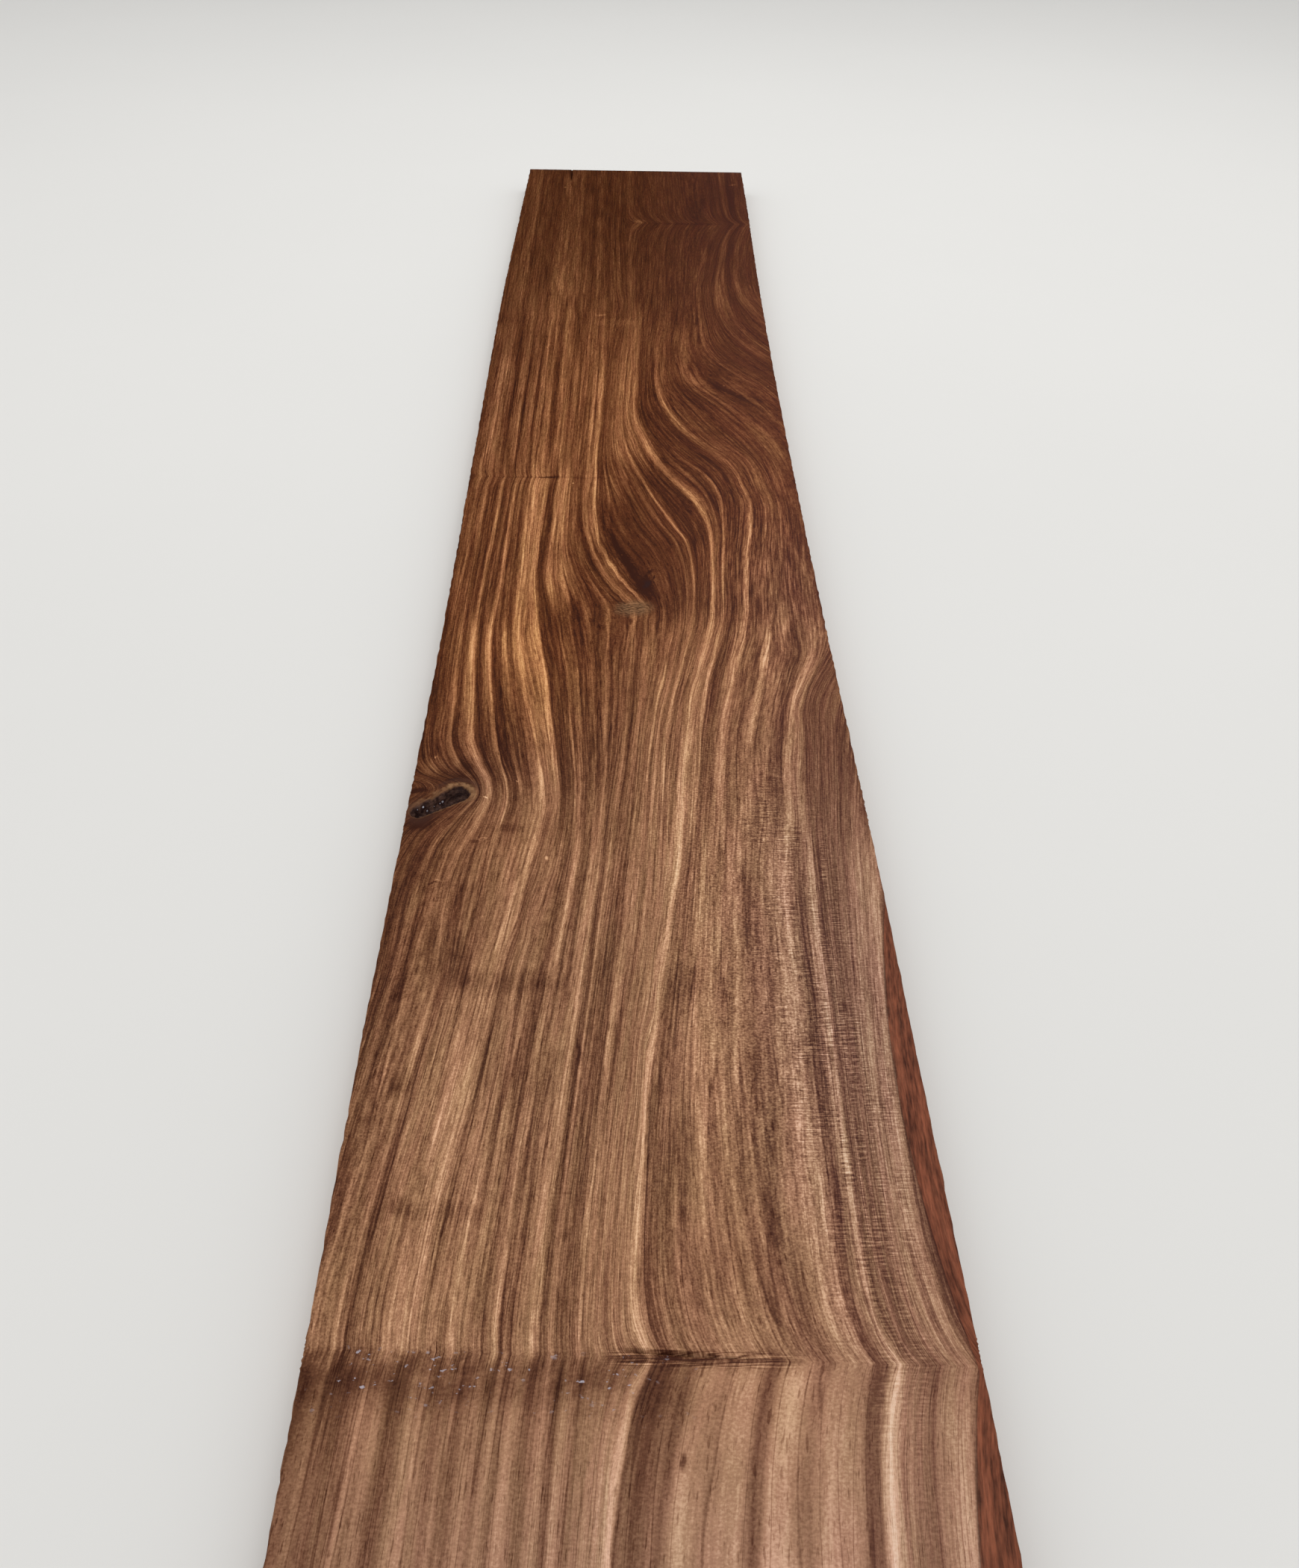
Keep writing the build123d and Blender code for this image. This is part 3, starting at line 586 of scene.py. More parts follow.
def kink_shift(x, y):
    """How far the kinks carry the lines towards the right edge here."""
    shift = np.zeros_like(x)
    for height, slope, start, end, jump, above, below in KINKS:
        away = y - (height + slope * x)
        fade = np.where(away > 0, np.exp(-np.abs(away) / above), np.exp(-np.abs(away) / below))
        reach = smooth_steps(x, start - KINK_EDGE, start + KINK_EDGE)
        reach *= 1 - smooth_steps(x, end - KINK_EDGE, end + KINK_EDGE)
        shift += jump * fade * reach
    return shift


def line_numbers(x, y):
    """The number of the grain line through each place of a grid whose rows each have one y."""
    numbers = np.array(sorted(GRAIN_LINES), float)
    lines = np.array([flowing(GRAIN_LINES[int(number)], y[:, 0]) for number in numbers])
    straight = x - kink_shift(x, y)
    return np.array([rising(lines[:, row], numbers, straight[row]) for row in range(len(x))])


def edge_place(run, y):
    """How far a ripped edge stands from the stock's middle line at each y."""
    points = [(HALF_LENGTH - back, STOCK_WIDTH / 2 + out) for back, out in run]
    return flowing(points, y)


def opening_depth(x, y, opening):
    """Depth of a V-edged opening, deepest in the middle of its length."""
    middle_x, middle_y, length, width, depth, angle = opening
    turn = math.radians(angle)
    along = (x - middle_x) * math.cos(turn) + (y - middle_y) * math.sin(turn)
    across = (y - middle_y) * math.cos(turn) - (x - middle_x) * math.sin(turn)
    run_out = np.clip(1 - (2 * along / length) ** 2, 0, 1)
    return depth * np.clip(run_out - np.abs(across) / (width / 2), 0, 1)


def knot_inside(x, y):
    """How far inside the knot hole's teardrop outline a place is."""
    turn = math.radians(KNOT_ANGLE)
    along = (x - KNOT_AT[0]) * math.cos(turn) + (y - KNOT_AT[1]) * math.sin(turn)
    across = (y - KNOT_AT[1]) * math.cos(turn) - (x - KNOT_AT[0]) * math.sin(turn)
    share = np.clip(along / KNOT_SPREAD + 0.5, 0, 1)
    radius = KNOT_NARROW_RADIUS + (KNOT_WIDE_RADIUS - KNOT_NARROW_RADIUS) * share
    return radius - np.hypot(along - (share - 0.5) * KNOT_SPREAD, across)


def rolled_arc(length, width):
    """Radius of the arc in which a rolled-off stretch meets the face, and where its centre is in x."""
    radius = length**2 / (8 * width) + width / 2
    return radius, STOCK_WIDTH / 2 - width + radius


def soft_random(shape, spans, seed):
    """Smooth seeded noise from -1 to 1 on a grid, one new value each span of rows and columns."""
    dice = np.random.default_rng(seed)
    coarse = dice.uniform(-1, 1, (shape[0] // spans[0] + 2, shape[1] // spans[1] + 2))
    rows = np.linspace(0, coarse.shape[0] - 1.001, shape[0])
    columns = np.linspace(0, coarse.shape[1] - 1.001, shape[1])
    i, j = rows.astype(int), columns.astype(int)
    down = smooth_steps(rows - i, 0, 1)[:, None]
    over = smooth_steps(columns - j, 0, 1)[None, :]
    upper = coarse[np.ix_(i, j)] * (1 - over) + coarse[np.ix_(i, j + 1)] * over
    lower = coarse[np.ix_(i + 1, j)] * (1 - over) + coarse[np.ix_(i + 1, j + 1)] * over
    return upper * (1 - down) + lower * down


def face_height(x, y):
    """Height of the planed face above the underside."""
    drop = PLANER_WAVE * (1 + soft_random(x.shape, (9, 6), 3)) / 2
    for name, opening in OPENINGS.items():
        depth = opening_depth(x, y, opening)
        if name == "end_check":
            opened = smooth_steps(HALF_LENGTH - y, 0, CHECK_RUN)
            depth = depth * (CHECK_END_SHARE + (1 - CHECK_END_SHARE) * opened)
        drop = np.maximum(drop, depth)
    for middle_y, length, width, fall in ROLLED:
        radius, centre_x = rolled_arc(length, width)
        drop = drop + np.clip(radius - np.hypot(x - centre_x, y - middle_y), 0, None) * fall / width
    floor = KNOT_DEPTH * (KNOT_FLOOR + KNOT_UNEVEN * soft_random(x.shape, (3, 3), 8))
    return THICKNESS - drop - floor * smooth_steps(knot_inside(x, y), -KNOT_LIP, KNOT_WALL_RUN)


def glint_places():
    """Where the lines of sight through the painted glints' places meet the pit, and the glints' radii."""
    camera = np.array(CAMERA_AT) / MM - (MIDDLE_X, 0, 0)
    places = []
    for x, y, radius in KNOT_PAINTED_GLINTS:
        on_face = np.array((x, y, THICKNESS))
        sight = (camera - on_face) / (camera[2] - THICKNESS)
        down = np.arange(0, KNOT_DEPTH, SIGHT_STEP)
        path = on_face - sight * down[:, None]
        share = smooth_steps(knot_inside(path[:, 0], path[:, 1]), -KNOT_LIP, KNOT_WALL_RUN)
        met = np.argmax(KNOT_DEPTH * KNOT_FLOOR * share <= down)
        places.append((*(float(value) for value in path[met]), radius))
    return places


def spaced(start, end, step, closer):
    """Places from start to end a step apart, and closer in each (from, to, step) stretch."""
    limits = [cut for first, last, _ in closer for cut in (first, last)]
    cuts = sorted({start, end, *(cut for cut in limits if start < cut < end)})
    places = []
    for first, last in zip(cuts, cuts[1:]):
        middle = (first + last) / 2
        local = min([step] + [fine for a, b, fine in closer if a < middle < b])
        places.extend(np.linspace(first, last, math.ceil((last - first) / local), endpoint=False))
    return np.array(places + [end])


def face_grid():
    """The x and y of a grid over the planed face, denser at what is cut into it."""
    half = STOCK_WIDTH / 2 - ARRIS
    columns = spaced(-half, half, COLUMN_STEP, CLOSER_COLUMNS)
    rows = spaced(-HALF_LENGTH + ARRIS, HALF_LENGTH - ARRIS, ROW_STEP, CLOSER_ROWS)
    x, y = np.meshgrid(columns, rows)
    right = edge_place(RIGHT_EDGE, rows) - STOCK_WIDTH / 2
    left = STOCK_WIDTH / 2 - edge_place(LEFT_EDGE, rows)
    ragged_right = EDGE_RAG * (soft_random((len(rows), 2), (1, 1), 21)[:, :1] - 1)
    ragged_left = EDGE_RAG * (soft_random((len(rows), 2), (1, 1), 22)[:, :1] - 1)
    near_right = smooth_steps(x, half - EDGE_BLEND, half)
    near_left = smooth_steps(-x, half - EDGE_BLEND, half)
    x = x + near_right * (right[:, None] + ragged_right) + near_left * (left[:, None] - ragged_left)
    return x, y


def rim_of(rows, columns):
    """The grid's outer places in turn, anticlockwise from the near left corner, as (row, column)."""
    near = [(0, j) for j in range(columns - 1)]
    right = [(i, columns - 1) for i in range(rows - 1)]
    far = [(rows - 1, j) for j in range(columns - 1, 0, -1)]
    left = [(i, 0) for i in range(rows - 1, 0, -1)]
    return near + right + far + left


def wall_levels():
    """How far down each ring of the edges lies, as a share of the thickness between the two arrises."""
    return np.linspace(0, 1, WALL_RINGS)


def plank_mesh():
    """The whole board as one closed mesh: two faces on the same grid, joined by rings round the rim."""
    x, y = face_grid()
    rows, columns = x.shape
    top = face_height(x, y)
    under = SAW_FUZZ * (1 + soft_random(x.shape, (1, 2), 5)) / 2
    rim = rim_of(rows, columns)
    count = rows * columns
    corners = [np.stack([x, y, top], -1).reshape(-1, 3), np.stack([x, y, under], -1).reshape(-1, 3)]

    rim_rows, rim_columns = np.array(rim).T
    out_x = (rim_columns == columns - 1).astype(float) - (rim_columns == 0)
    out_y = (rim_rows == rows - 1).astype(float) - (rim_rows == 0)
    rim_top = top[rim_rows, rim_columns] - ARRIS
    rim_under = under[rim_rows, rim_columns] + ARRIS
    fuzz = SAW_FUZZ * (1 + soft_random((len(rim), WALL_RINGS), (1, 1), 6)) / 2
    for ring, down in enumerate(wall_levels()):
        out = ARRIS - fuzz[:, ring]
        ring_x = x[rim_rows, rim_columns] + out_x * out
        ring_y = y[rim_rows, rim_columns] + out_y * out
        corners.append(np.stack([ring_x, ring_y, rim_top + (rim_under - rim_top) * down], -1))
    corners = np.concatenate(corners)

    index = np.arange(count).reshape(rows, columns)
    cells = np.stack([index[:-1, :-1], index[:-1, 1:], index[1:, 1:], index[1:, :-1]], -1).reshape(-1, 4)
    rings = [np.array([index[place] for place in rim])]
    rings += [2 * count + ring * len(rim) + np.arange(len(rim)) for ring in range(WALL_RINGS)]
    rings.append(rings[0] + count)
    walls = []
    for upper, lower in zip(rings, rings[1:]):
        walls.append(np.stack([upper, lower, np.roll(lower, -1), np.roll(upper, -1)], -1))
    walls = np.concatenate(walls)
    faces = np.concatenate([cells, cells[:, ::-1] + count, walls])

    side = np.zeros(len(faces), int)
    side[len(cells):2 * len(cells)] = UNDERSIDE
    at_end = np.tile(out_y != 0, WALL_RINGS + 1) & np.tile(np.roll(out_y, -1) != 0, WALL_RINGS + 1)
    side[2 * len(cells):] = np.where(at_end, END_GRAIN, RIPPED_EDGE)

    numbers = line_numbers(x, y).reshape(-1)
    rim_numbers = np.tile(numbers[rings[0]], WALL_RINGS)
    below = THICKNESS - corners[:, 2]
    below[:count] = 0
    numbers = np.concatenate([numbers, numbers, rim_numbers]) + below * RING_TILT
    grain = np.stack([numbers, corners[:, 1], below], -1)
    return corners, faces, side, grain


def spot_share(x, y, middle_x, middle_y, half_width, half_length, angle):
    """1 in the middle of a soft ellipse on the board, 0 outside it."""
    turn = math.radians(angle)
    across = ((x - middle_x) * math.cos(turn) + (y - middle_y) * math.sin(turn)) / half_width
    along = ((y - middle_y) * math.cos(turn) - (x - middle_x) * math.sin(turn)) / half_length
    return smooth_steps(np.hypot(across, along), 1, 0)


def shades_and_tints(corners):
    """The tone change and the tint of the wide soft spots at each corner of the mesh; the tint also holds the
    painted sky reflection of the sheen.
    """
    x, y = corners[:, 0], corners[:, 1]
    shade = np.zeros(len(corners))
    for *spot, change in SHADES:
        shade += change * spot_share(x, y, *spot)
    tint = np.ones((len(corners), 3))
    for *spot, shares in TINTS_AND_SKY_SHEEN:
        tint *= 1 + spot_share(x, y, *spot)[:, None] * (np.array(shares) - 1)
    return shade, tint


def bake_places(corners, faces, side):
    """Lays the faces out on the unit square: the planed face largest, in two strips of half the length."""
    x, y, z = (corners[faces][:, :, axis] for axis in range(3))
    half_width = STOCK_WIDTH / 2 + EDGE_BLEND / 2
    middle_y = y.mean(1, keepdims=True)
    far_half = middle_y > 0
    along = np.where(far_half, y, y + HALF_LENGTH)
    right_side = x.mean(1, keepdims=True) > 0
    row = BAKE_GAP
    u = along.copy()
    v = x + half_width + row + np.where(far_half, 0, 2 * half_width + BAKE_GAP)
    row += 4 * half_width + 2 * BAKE_GAP

    under = side[:, None] == UNDERSIDE
    u = np.where(under, (y + HALF_LENGTH) / 2, u)
    v = np.where(under, row + (x + half_width) / 2, v)
    row += half_width + BAKE_GAP

    edge = side[:, None] == RIPPED_EDGE
    lane = THICKNESS + BAKE_GAP
    v = np.where(edge, row + z + lane * (2 * right_side + far_half), v)
    row += 4 * lane

    end = side[:, None] == END_GRAIN
    u = np.where(end, x + half_width + far_half * (2 * half_width + BAKE_GAP), u)
    v = np.where(end, row + z, v)
    return np.stack([u + BAKE_GAP, v], -1) / BAKE_SIDE


def make_plank():
    """The plank as a Blender object, with its grain field, its bake layout and its four surfaces."""
    corners, faces, side, grain = plank_mesh()
    mesh = bpy.data.meshes.new("walnut_board")
    places = (corners + (MIDDLE_X, 0, 0)) * MM
    mesh.from_pydata(places.tolist(), [], faces.tolist())
    shade, tint = shades_and_tints(corners)
    mesh.attributes.new("grain", "FLOAT_VECTOR", "POINT").data.foreach_set("vector", grain.ravel())
    mesh.attributes.new("shade", "FLOAT", "POINT").data.foreach_set("value", shade)
    mesh.attributes.new("tint", "FLOAT_VECTOR", "POINT").data.foreach_set("vector", tint.ravel())
    layout = mesh.uv_layers.new(name="OFBake")
    layout.data.foreach_set("uv", bake_places(corners, faces, side).ravel())
    for material in (planed_walnut(), sawn_walnut("underside"), sawn_walnut("ripped_edge"), end_walnut()):
        mesh.materials.append(material)
    mesh.polygons.foreach_set("material_index", side)
    mesh.polygons.foreach_set("use_smooth", side == PLANED_FACE)
    mesh.update()
    board = bpy.data.objects.new("walnut_board", mesh)
    bpy.context.collection.objects.link(board)
    return board


class Graph:
    """Wires a node tree. Each call adds a node and gives back its output."""

    def __init__(self, tree):
        self.tree = tree

    def add(self, kind, inputs=(), **settings):
        node = self.tree.nodes.new(kind)
        for name, value in settings.items():
            setattr(node, name, value)
        for key, value in dict(inputs).items():
            self.put(node.inputs[key], value)
        return node

    def put(self, socket, value):
        if isinstance(value, bpy.types.NodeSocket):
            self.tree.links.new(value, socket)
        else:
            socket.default_value = value

    def math(self, operation, *values, clamp=False):
        return self.add("ShaderNodeMath", enumerate(values), operation=operation, use_clamp=clamp).outputs[0]

    def vector(self, operation, *values):
        node = self.add("ShaderNodeVectorMath", enumerate(values), operation=operation)
        return node.outputs["Value" if operation in ("LENGTH", "DISTANCE", "DOT_PRODUCT") else "Vector"]

    def steps(self, value, start, end, low=0.0, high=1.0):
        """Smoothly from low at start to high at end."""
        inputs = {"Value": value, "From Min": start, "From Max": end, "To Min": low, "To Max": high}
        return self.add("ShaderNodeMapRange", inputs, interpolation_type="SMOOTHSTEP").outputs[0]

    def between(self, share, first, second):
        inputs = {0: share, 2: first, 3: second}
        return self.add("ShaderNodeMix", inputs, data_type="FLOAT").outputs[0]

    def tint(self, share, first, second, kind="MIX"):
        inputs = {0: share, 6: first, 7: second}
        return self.add("ShaderNodeMix", inputs, data_type="RGBA", blend_type=kind).outputs[2]

    def stretched(self, vector, sizes):
        """The vector with each direction divided by its size, so that a noise of scale 1 has those sizes."""
        return self.vector("DIVIDE", vector, sizes)

    def noise(self, vector, sizes, detail=2.0, roughness=0.5):
        """Noise from about -0.5 to 0.5, whose features have these sizes."""
        inputs = {"Vector": self.stretched(vector, sizes), "Scale": 1.0, "Detail": detail,
                  "Roughness": roughness}
        return self.math("SUBTRACT", self.add("ShaderNodeTexNoise", inputs).outputs[0], 0.5)

    def ramp(self, value, stops):
        """Colour or grey between given (place, colour or grey) stops, with places from 0 to 1."""
        node = self.add("ShaderNodeValToRGB", {0: value})
        elements = node.color_ramp.elements
        while len(elements) < len(stops):
            elements.new(0.5)
        for element, (place, shade) in zip(elements, stops):
            element.position = place
            element.color = shade if isinstance(shade, tuple) else (shade, shade, shade, 1.0)
        return node.outputs[0]

    def grey_ramp(self, value, stops):
        """The grey between given (place, grey) stops, as a plain number."""
        return self.add("ShaderNodeSeparateColor", {0: self.ramp(value, stops)}).outputs[0]

    def long_ramp(self, value, stops):
        """A grey ramp with any number of stops, made of as many ramps as they need."""
        shade = self.grey_ramp(value, stops[:RAMP_STOPS])
        for first in range(RAMP_STOPS - 1, len(stops) - 1, RAMP_STOPS - 1):
            part = stops[first:first + RAMP_STOPS]
            past = self.math("GREATER_THAN", value, part[0][0])
            shade = self.between(past, shade, self.grey_ramp(value, part))
        return shade

    def parts(self, vector):
        """The x, y and z of a vector."""
        return self.add("ShaderNodeSeparateXYZ", {0: vector}).outputs

    def held(self, name, output):
        """A value that the mesh holds at its corners."""
        return self.add("ShaderNodeAttribute", attribute_name=name).outputs[output]

    def spot(self, place, x, y, half_width, half_length, angle=0.0, soft=0.7):
        """1 inside an ellipse on the board, 0 outside it."""
        across, along = self.turned(place, x, y, angle, half_width, half_length)
        reach = self.math("MULTIPLY_ADD", along, along, self.math("MULTIPLY", across, across))
        return self.steps(self.math("SQRT", reach), 1.0, 1.0 - soft)

    def turned(self, place, x, y, angle, first_size=1.0, second_size=1.0):
        """How far a place lies from (x, y) along two axes turned by an angle, in shares of two sizes."""
        cos, sin = math.cos(math.radians(angle)), math.sin(math.radians(angle))
        first = self.vector("DOT_PRODUCT", place, (cos / first_size, sin / first_size, 0))
        second = self.vector("DOT_PRODUCT", place, (-sin / second_size, cos / second_size, 0))
        from_first = self.math("SUBTRACT", first, (x * cos + y * sin) / first_size)
        return from_first, self.math("SUBTRACT", second, (y * cos - x * sin) / second_size)


def board_place(graph):
    """Where a point is on the board, in millimetres from the middle of the stock."""
    metres = graph.add("ShaderNodeTexCoord").outputs["Object"]
    return graph.vector("SUBTRACT", graph.vector("DIVIDE", metres, (MM, MM, MM)), (MIDDLE_X, 0, 0))


def grain_place(graph):
    """(line number, place along the board, depth) in millimetres, from the mesh."""
    return graph.held("grain", "Vector")


def new_material(name):
    """An empty material, its graph and its shader."""
    material = bpy.data.materials.new(name)
    material.use_nodes = True
    tree = material.node_tree
    tree.nodes.clear()
    graph = Graph(tree)
    shader = graph.add("ShaderNodeBsdfPrincipled")
    output = graph.add("ShaderNodeOutputMaterial")
    tree.links.new(shader.outputs[0], output.inputs[0])
    return material, graph, shader


def dress(graph, shader, colour, roughness, shine, height, bump_height):
    """Gives a shader its colour, roughness, specular level and bump, whose height is in millimetres."""
    graph.put(shader.inputs["Base Color"], colour)
    graph.put(shader.inputs["Roughness"], roughness)
    shader.inputs["Specular IOR Level"].default_value = shine
    bump = graph.add("ShaderNodeBump", {"Height": height, "Distance": bump_height * MM})
    graph.put(shader.inputs["Normal"], bump.outputs[0])


def bands_tone(graph, number, y):
    """Tone of the broad bands and threads, from the set that belongs to each stretch of the board."""
    start, end = BAND_RANGE
    share = graph.math("DIVIDE", graph.math("SUBTRACT", number, start), end - start)
    sets = []
    for stretch, stops in BANDS.items():
        usual = sum(tone for _, tone in stops) / len(stops)
        placed = []
        for line, tone in stops:
            placed.append(((line - start) / (end - start), usual + (tone - usual) * BAND_CONTRAST[stretch]))
        sets.append(graph.long_ramp(share, placed))
    tone = sets[0]
    for (first, last), following in zip(STRETCH_JOINTS, sets[1:]):
        tone = graph.between(graph.steps(y, first, last), tone, following)
    return tone


def figure(graph, grain, place, marked):
    """Tone of bands and fibres, with ripple and marks on the marked face, and the strayed grain."""
    wander = graph.math("MULTIPLY", graph.noise(grain, WANDER_SIZES, 3.0), WANDER)
    grain = graph.vector("ADD", grain, graph.add("ShaderNodeCombineXYZ", {0: wander}).outputs[0])
    y = graph.parts(place)[1]
    number = graph.parts(grain)[0]
    tone = bands_tone(graph, number, y)
    sizes, soon, weakest, strongest = BAND_FADES
    fade = graph.steps(graph.noise(grain, sizes, 2.0), -soon, soon, weakest, strongest)
    tone = graph.math("MULTIPLY_ADD", graph.math("SUBTRACT", tone, MIDDLE_TONE), fade, MIDDLE_TONE)
    calm = graph.math("MULTIPLY_ADD", graph.spot(place, *CALM_AT), -CALM_SHARE, 1.0)
    calm = graph.math("MULTIPLY", calm, graph.steps(y, -600.0, -612.0, 1.0, NEAR_END_SHARE))
    for sizes, soon, amount in LINE_NOISES:
        lines = graph.steps(graph.noise(grain, sizes, 2.0), -soon, soon, -amount, amount)
        tone = graph.math("MULTIPLY_ADD", lines, calm, tone)
    sizes, soon, amount, spread = SPREAD_LINES
    lines = graph.steps(graph.noise(grain, sizes, 2.0), -soon, soon, -amount, amount)
    tone = graph.math("MULTIPLY_ADD", lines, graph.spot(place, *spread, 0.8), tone)
    sizes, half_width, amount = DARK_THREADS
    thread = graph.math("ABSOLUTE", graph.noise(grain, sizes, 1.0))
    tone = graph.math("ADD", tone, graph.steps(thread, half_width, 0.0, 0.0, amount))
    if not marked:
        return tone, grain
    torn = graph.steps(graph.spot(place, *STIPPLE_AT, 1.0), 0.0, 1.0, *STIPPLE_AMOUNTS)
    stipple = graph.steps(graph.noise(place, STIPPLE_SIZES, 1.0), -0.2, 0.2, -1.0, 1.0)
    tone = graph.math("MULTIPLY_ADD", stipple, torn, tone)
    ripple = graph.steps(graph.noise(place, RIPPLE_SIZES, 1.0), -0.16, 0.20, -0.5, 0.5)
    patches = graph.steps(graph.noise(grain, (8.0, 36.0, 9.0), 2.0), -0.12, 0.12)
    rippled = graph.math("MULTIPLY", graph.spot(place, *RIPPLE_AT, 0.6), patches)
    ripple = graph.math("MULTIPLY", ripple, rippled)
    tone = graph.math("MULTIPLY_ADD", ripple, RIPPLE_AMOUNT, tone)
    frayed = graph.vector("ADD", place, graph.vector("MULTIPLY", mark_wobble(graph, place), (5.0, 5.0, 0.0)))
    tone = graph.math("ADD", tone, spots_tone(graph, frayed, MARKS, 0.7))
    tone = graph.math("ADD", tone, graph.held("shade", "Fac"))
    tone = graph.math("ADD", tone, kink_line_tone(graph, place))
    return tone, grain


def spots_tone(graph, place, spots, soft):
    """The sum of the tone changes of all these spots."""
    total = 0.0
    for x, y, half_width, half_length, angle, change in spots:
        spot = graph.spot(place, x, y, half_width, half_length, angle, soft)
        total = graph.math("MULTIPLY_ADD", spot, change, total)
    return total


def mark_wobble(graph, place):
    """A small random displacement that frays the marks' outlines."""
    inputs = {"Vector": graph.stretched(place, (7.0, 9.0, ENDLESS)), "Scale": 1.0}
    colour = graph.add("ShaderNodeTexNoise", inputs).outputs[1]
    return graph.vector("SUBTRACT", colour, (0.5, 0.5, 0.5))


def kink_band(graph, place):
    """Above the strongest kink's line how far a place is, and the share of the dark band left of its seam."""
    height, slope = KINKS[-1][:2]
    x, y, _ = graph.parts(place)
    wobble = graph.noise(place, (14.0, 30.0, ENDLESS), 2.0)
    line = graph.math("MULTIPLY_ADD", x, slope, height)
    away = graph.math("SUBTRACT", graph.math("SUBTRACT", y, line), graph.math("MULTIPLY", wobble, 2.5))
    band = graph.math("MULTIPLY", graph.steps(away, -28.0, -10.0), graph.steps(away, 3.0, -3.0))
    band = graph.math("MULTIPLY", band, graph.steps(x, 30.0, -10.0))
    blotch = graph.steps(graph.noise(place, (12.0, 8.0, ENDLESS), 2.0), -0.25, 0.15, 0.35, 1.0)
    return x, away, graph.math("MULTIPLY", band, blotch)


def kink_line_tone(graph, place):
    """The seam's thin dark strands with pale ones between them, and the dark band of the strongest kink."""
    x, away, band = kink_band(graph, place)
    at_seam = graph.math("MULTIPLY", graph.steps(x, -18.0, -4.0), graph.steps(x, 66.0, 34.0))
    apart = graph.math("ABSOLUTE", away)
    strands = graph.noise(place, (26.0, 1.3, ENDLESS), 1.0)
    dark = graph.steps(graph.math("ABSOLUTE", strands), 0.08, 0.01, 0.0, -0.45)
    pale = graph.steps(strands, 0.10, 0.18, 0.0, 0.24)
    strand = graph.math("MULTIPLY", graph.math("ADD", dark, pale), graph.steps(apart, 4.5, 1.5))
    line = graph.math("ADD", strand, graph.steps(apart, 1.3, 0.4, 0.0, -0.34))
    line = graph.math("ADD", line, graph.steps(apart, 11.0, 1.0, 0.0, -0.10))
    return graph.math("MULTIPLY_ADD", band, -0.24, graph.math("MULTIPLY", line, at_seam))


def resin_specks(graph, colour, place):
    """Pale glints of dried resin in the dark band of the strongest kink."""
    band = kink_band(graph, place)[2]
    cluster = graph.steps(graph.noise(place, (22.0, 12.0, ENDLESS), 1.0), -0.08, 0.06)
    speck = graph.steps(graph.noise(place, (3.4, 2.2, ENDLESS), 2.0), 0.13, 0.20)
    share = graph.math("MULTIPLY", graph.math("MULTIPLY", speck, cluster), band)
    return graph.tint(graph.math("MULTIPLY", share, 0.8), colour, RESIN_GLINT)


def tone_ramp(graph, tone, tones):
    """The palette's colour at this tone."""
    share = graph.math("DIVIDE", tone, TONE_REACH)
    return graph.ramp(share, [(place / TONE_REACH, colour) for place, colour in tones])


def walnut_colour(graph, tone, place):
    """Tone to colour: redder and darker at the far end, partly painted shade; paler near the camera and to
    the right, painted sheen; purplish to the right.
    """
    x, y, _ = graph.parts(place)
    # The far palette's darkness is partly painted shade where the face shows no sheen.
    colour = graph.tint(graph.steps(y, *FAR_TO_MIDDLE), tone_ramp(graph, tone, FAR_WOOD_AND_SHADE_TONES),
                        tone_ramp(graph, tone, MIDDLE_TONES))
    # Painted sheen: paler, greyer colour towards the near end and the right.
    painted_sheen = graph.steps(graph.math("SUBTRACT", y, x), *MIDDLE_TO_SHEEN)
    colour = graph.tint(painted_sheen, colour, tone_ramp(graph, tone, NEAR_WOOD_AND_SHEEN_TONES))
    purple = graph.math("MULTIPLY", graph.steps(x, *PURPLE_FROM_TO), PURPLE_SHARE)
    colour = graph.tint(purple, colour, PURPLE_BROWN)
    # The held tint includes a painted bluish reflection of the sky over the near end and the right.
    return graph.tint(1.0, colour, graph.held("tint", "Color"), "MULTIPLY")


def drifting_hue(graph, colour, grain):
    """The colour, with streaks that lean to olive and streaks that lean to red."""
    drift = graph.steps(graph.noise(grain, (5.0, 55.0, 8.0), 4.0), -0.22, 0.22)
    return graph.tint(1.0, colour, graph.tint(drift, OLIVE_TINT, RED_TINT), "MULTIPLY")


def knot_place(graph, place):
    """A place in the knot's own frame, and how far inside its teardrop outline it is."""
    along, across = graph.turned(place, *KNOT_AT, KNOT_ANGLE)
    share = graph.math("ADD", graph.math("DIVIDE", along, KNOT_SPREAD), 0.5, clamp=True)
    radius = graph.math("MULTIPLY_ADD", share, KNOT_WIDE_RADIUS - KNOT_NARROW_RADIUS, KNOT_NARROW_RADIUS)
    centre = graph.math("MULTIPLY", graph.math("SUBTRACT", share, 0.5), KNOT_SPREAD)
    inputs = {0: graph.math("SUBTRACT", along, centre), 1: across}
    apart = graph.add("ShaderNodeCombineXYZ", inputs).outputs[0]
    return along, across, graph.math("SUBTRACT", radius, graph.vector("LENGTH", apart))


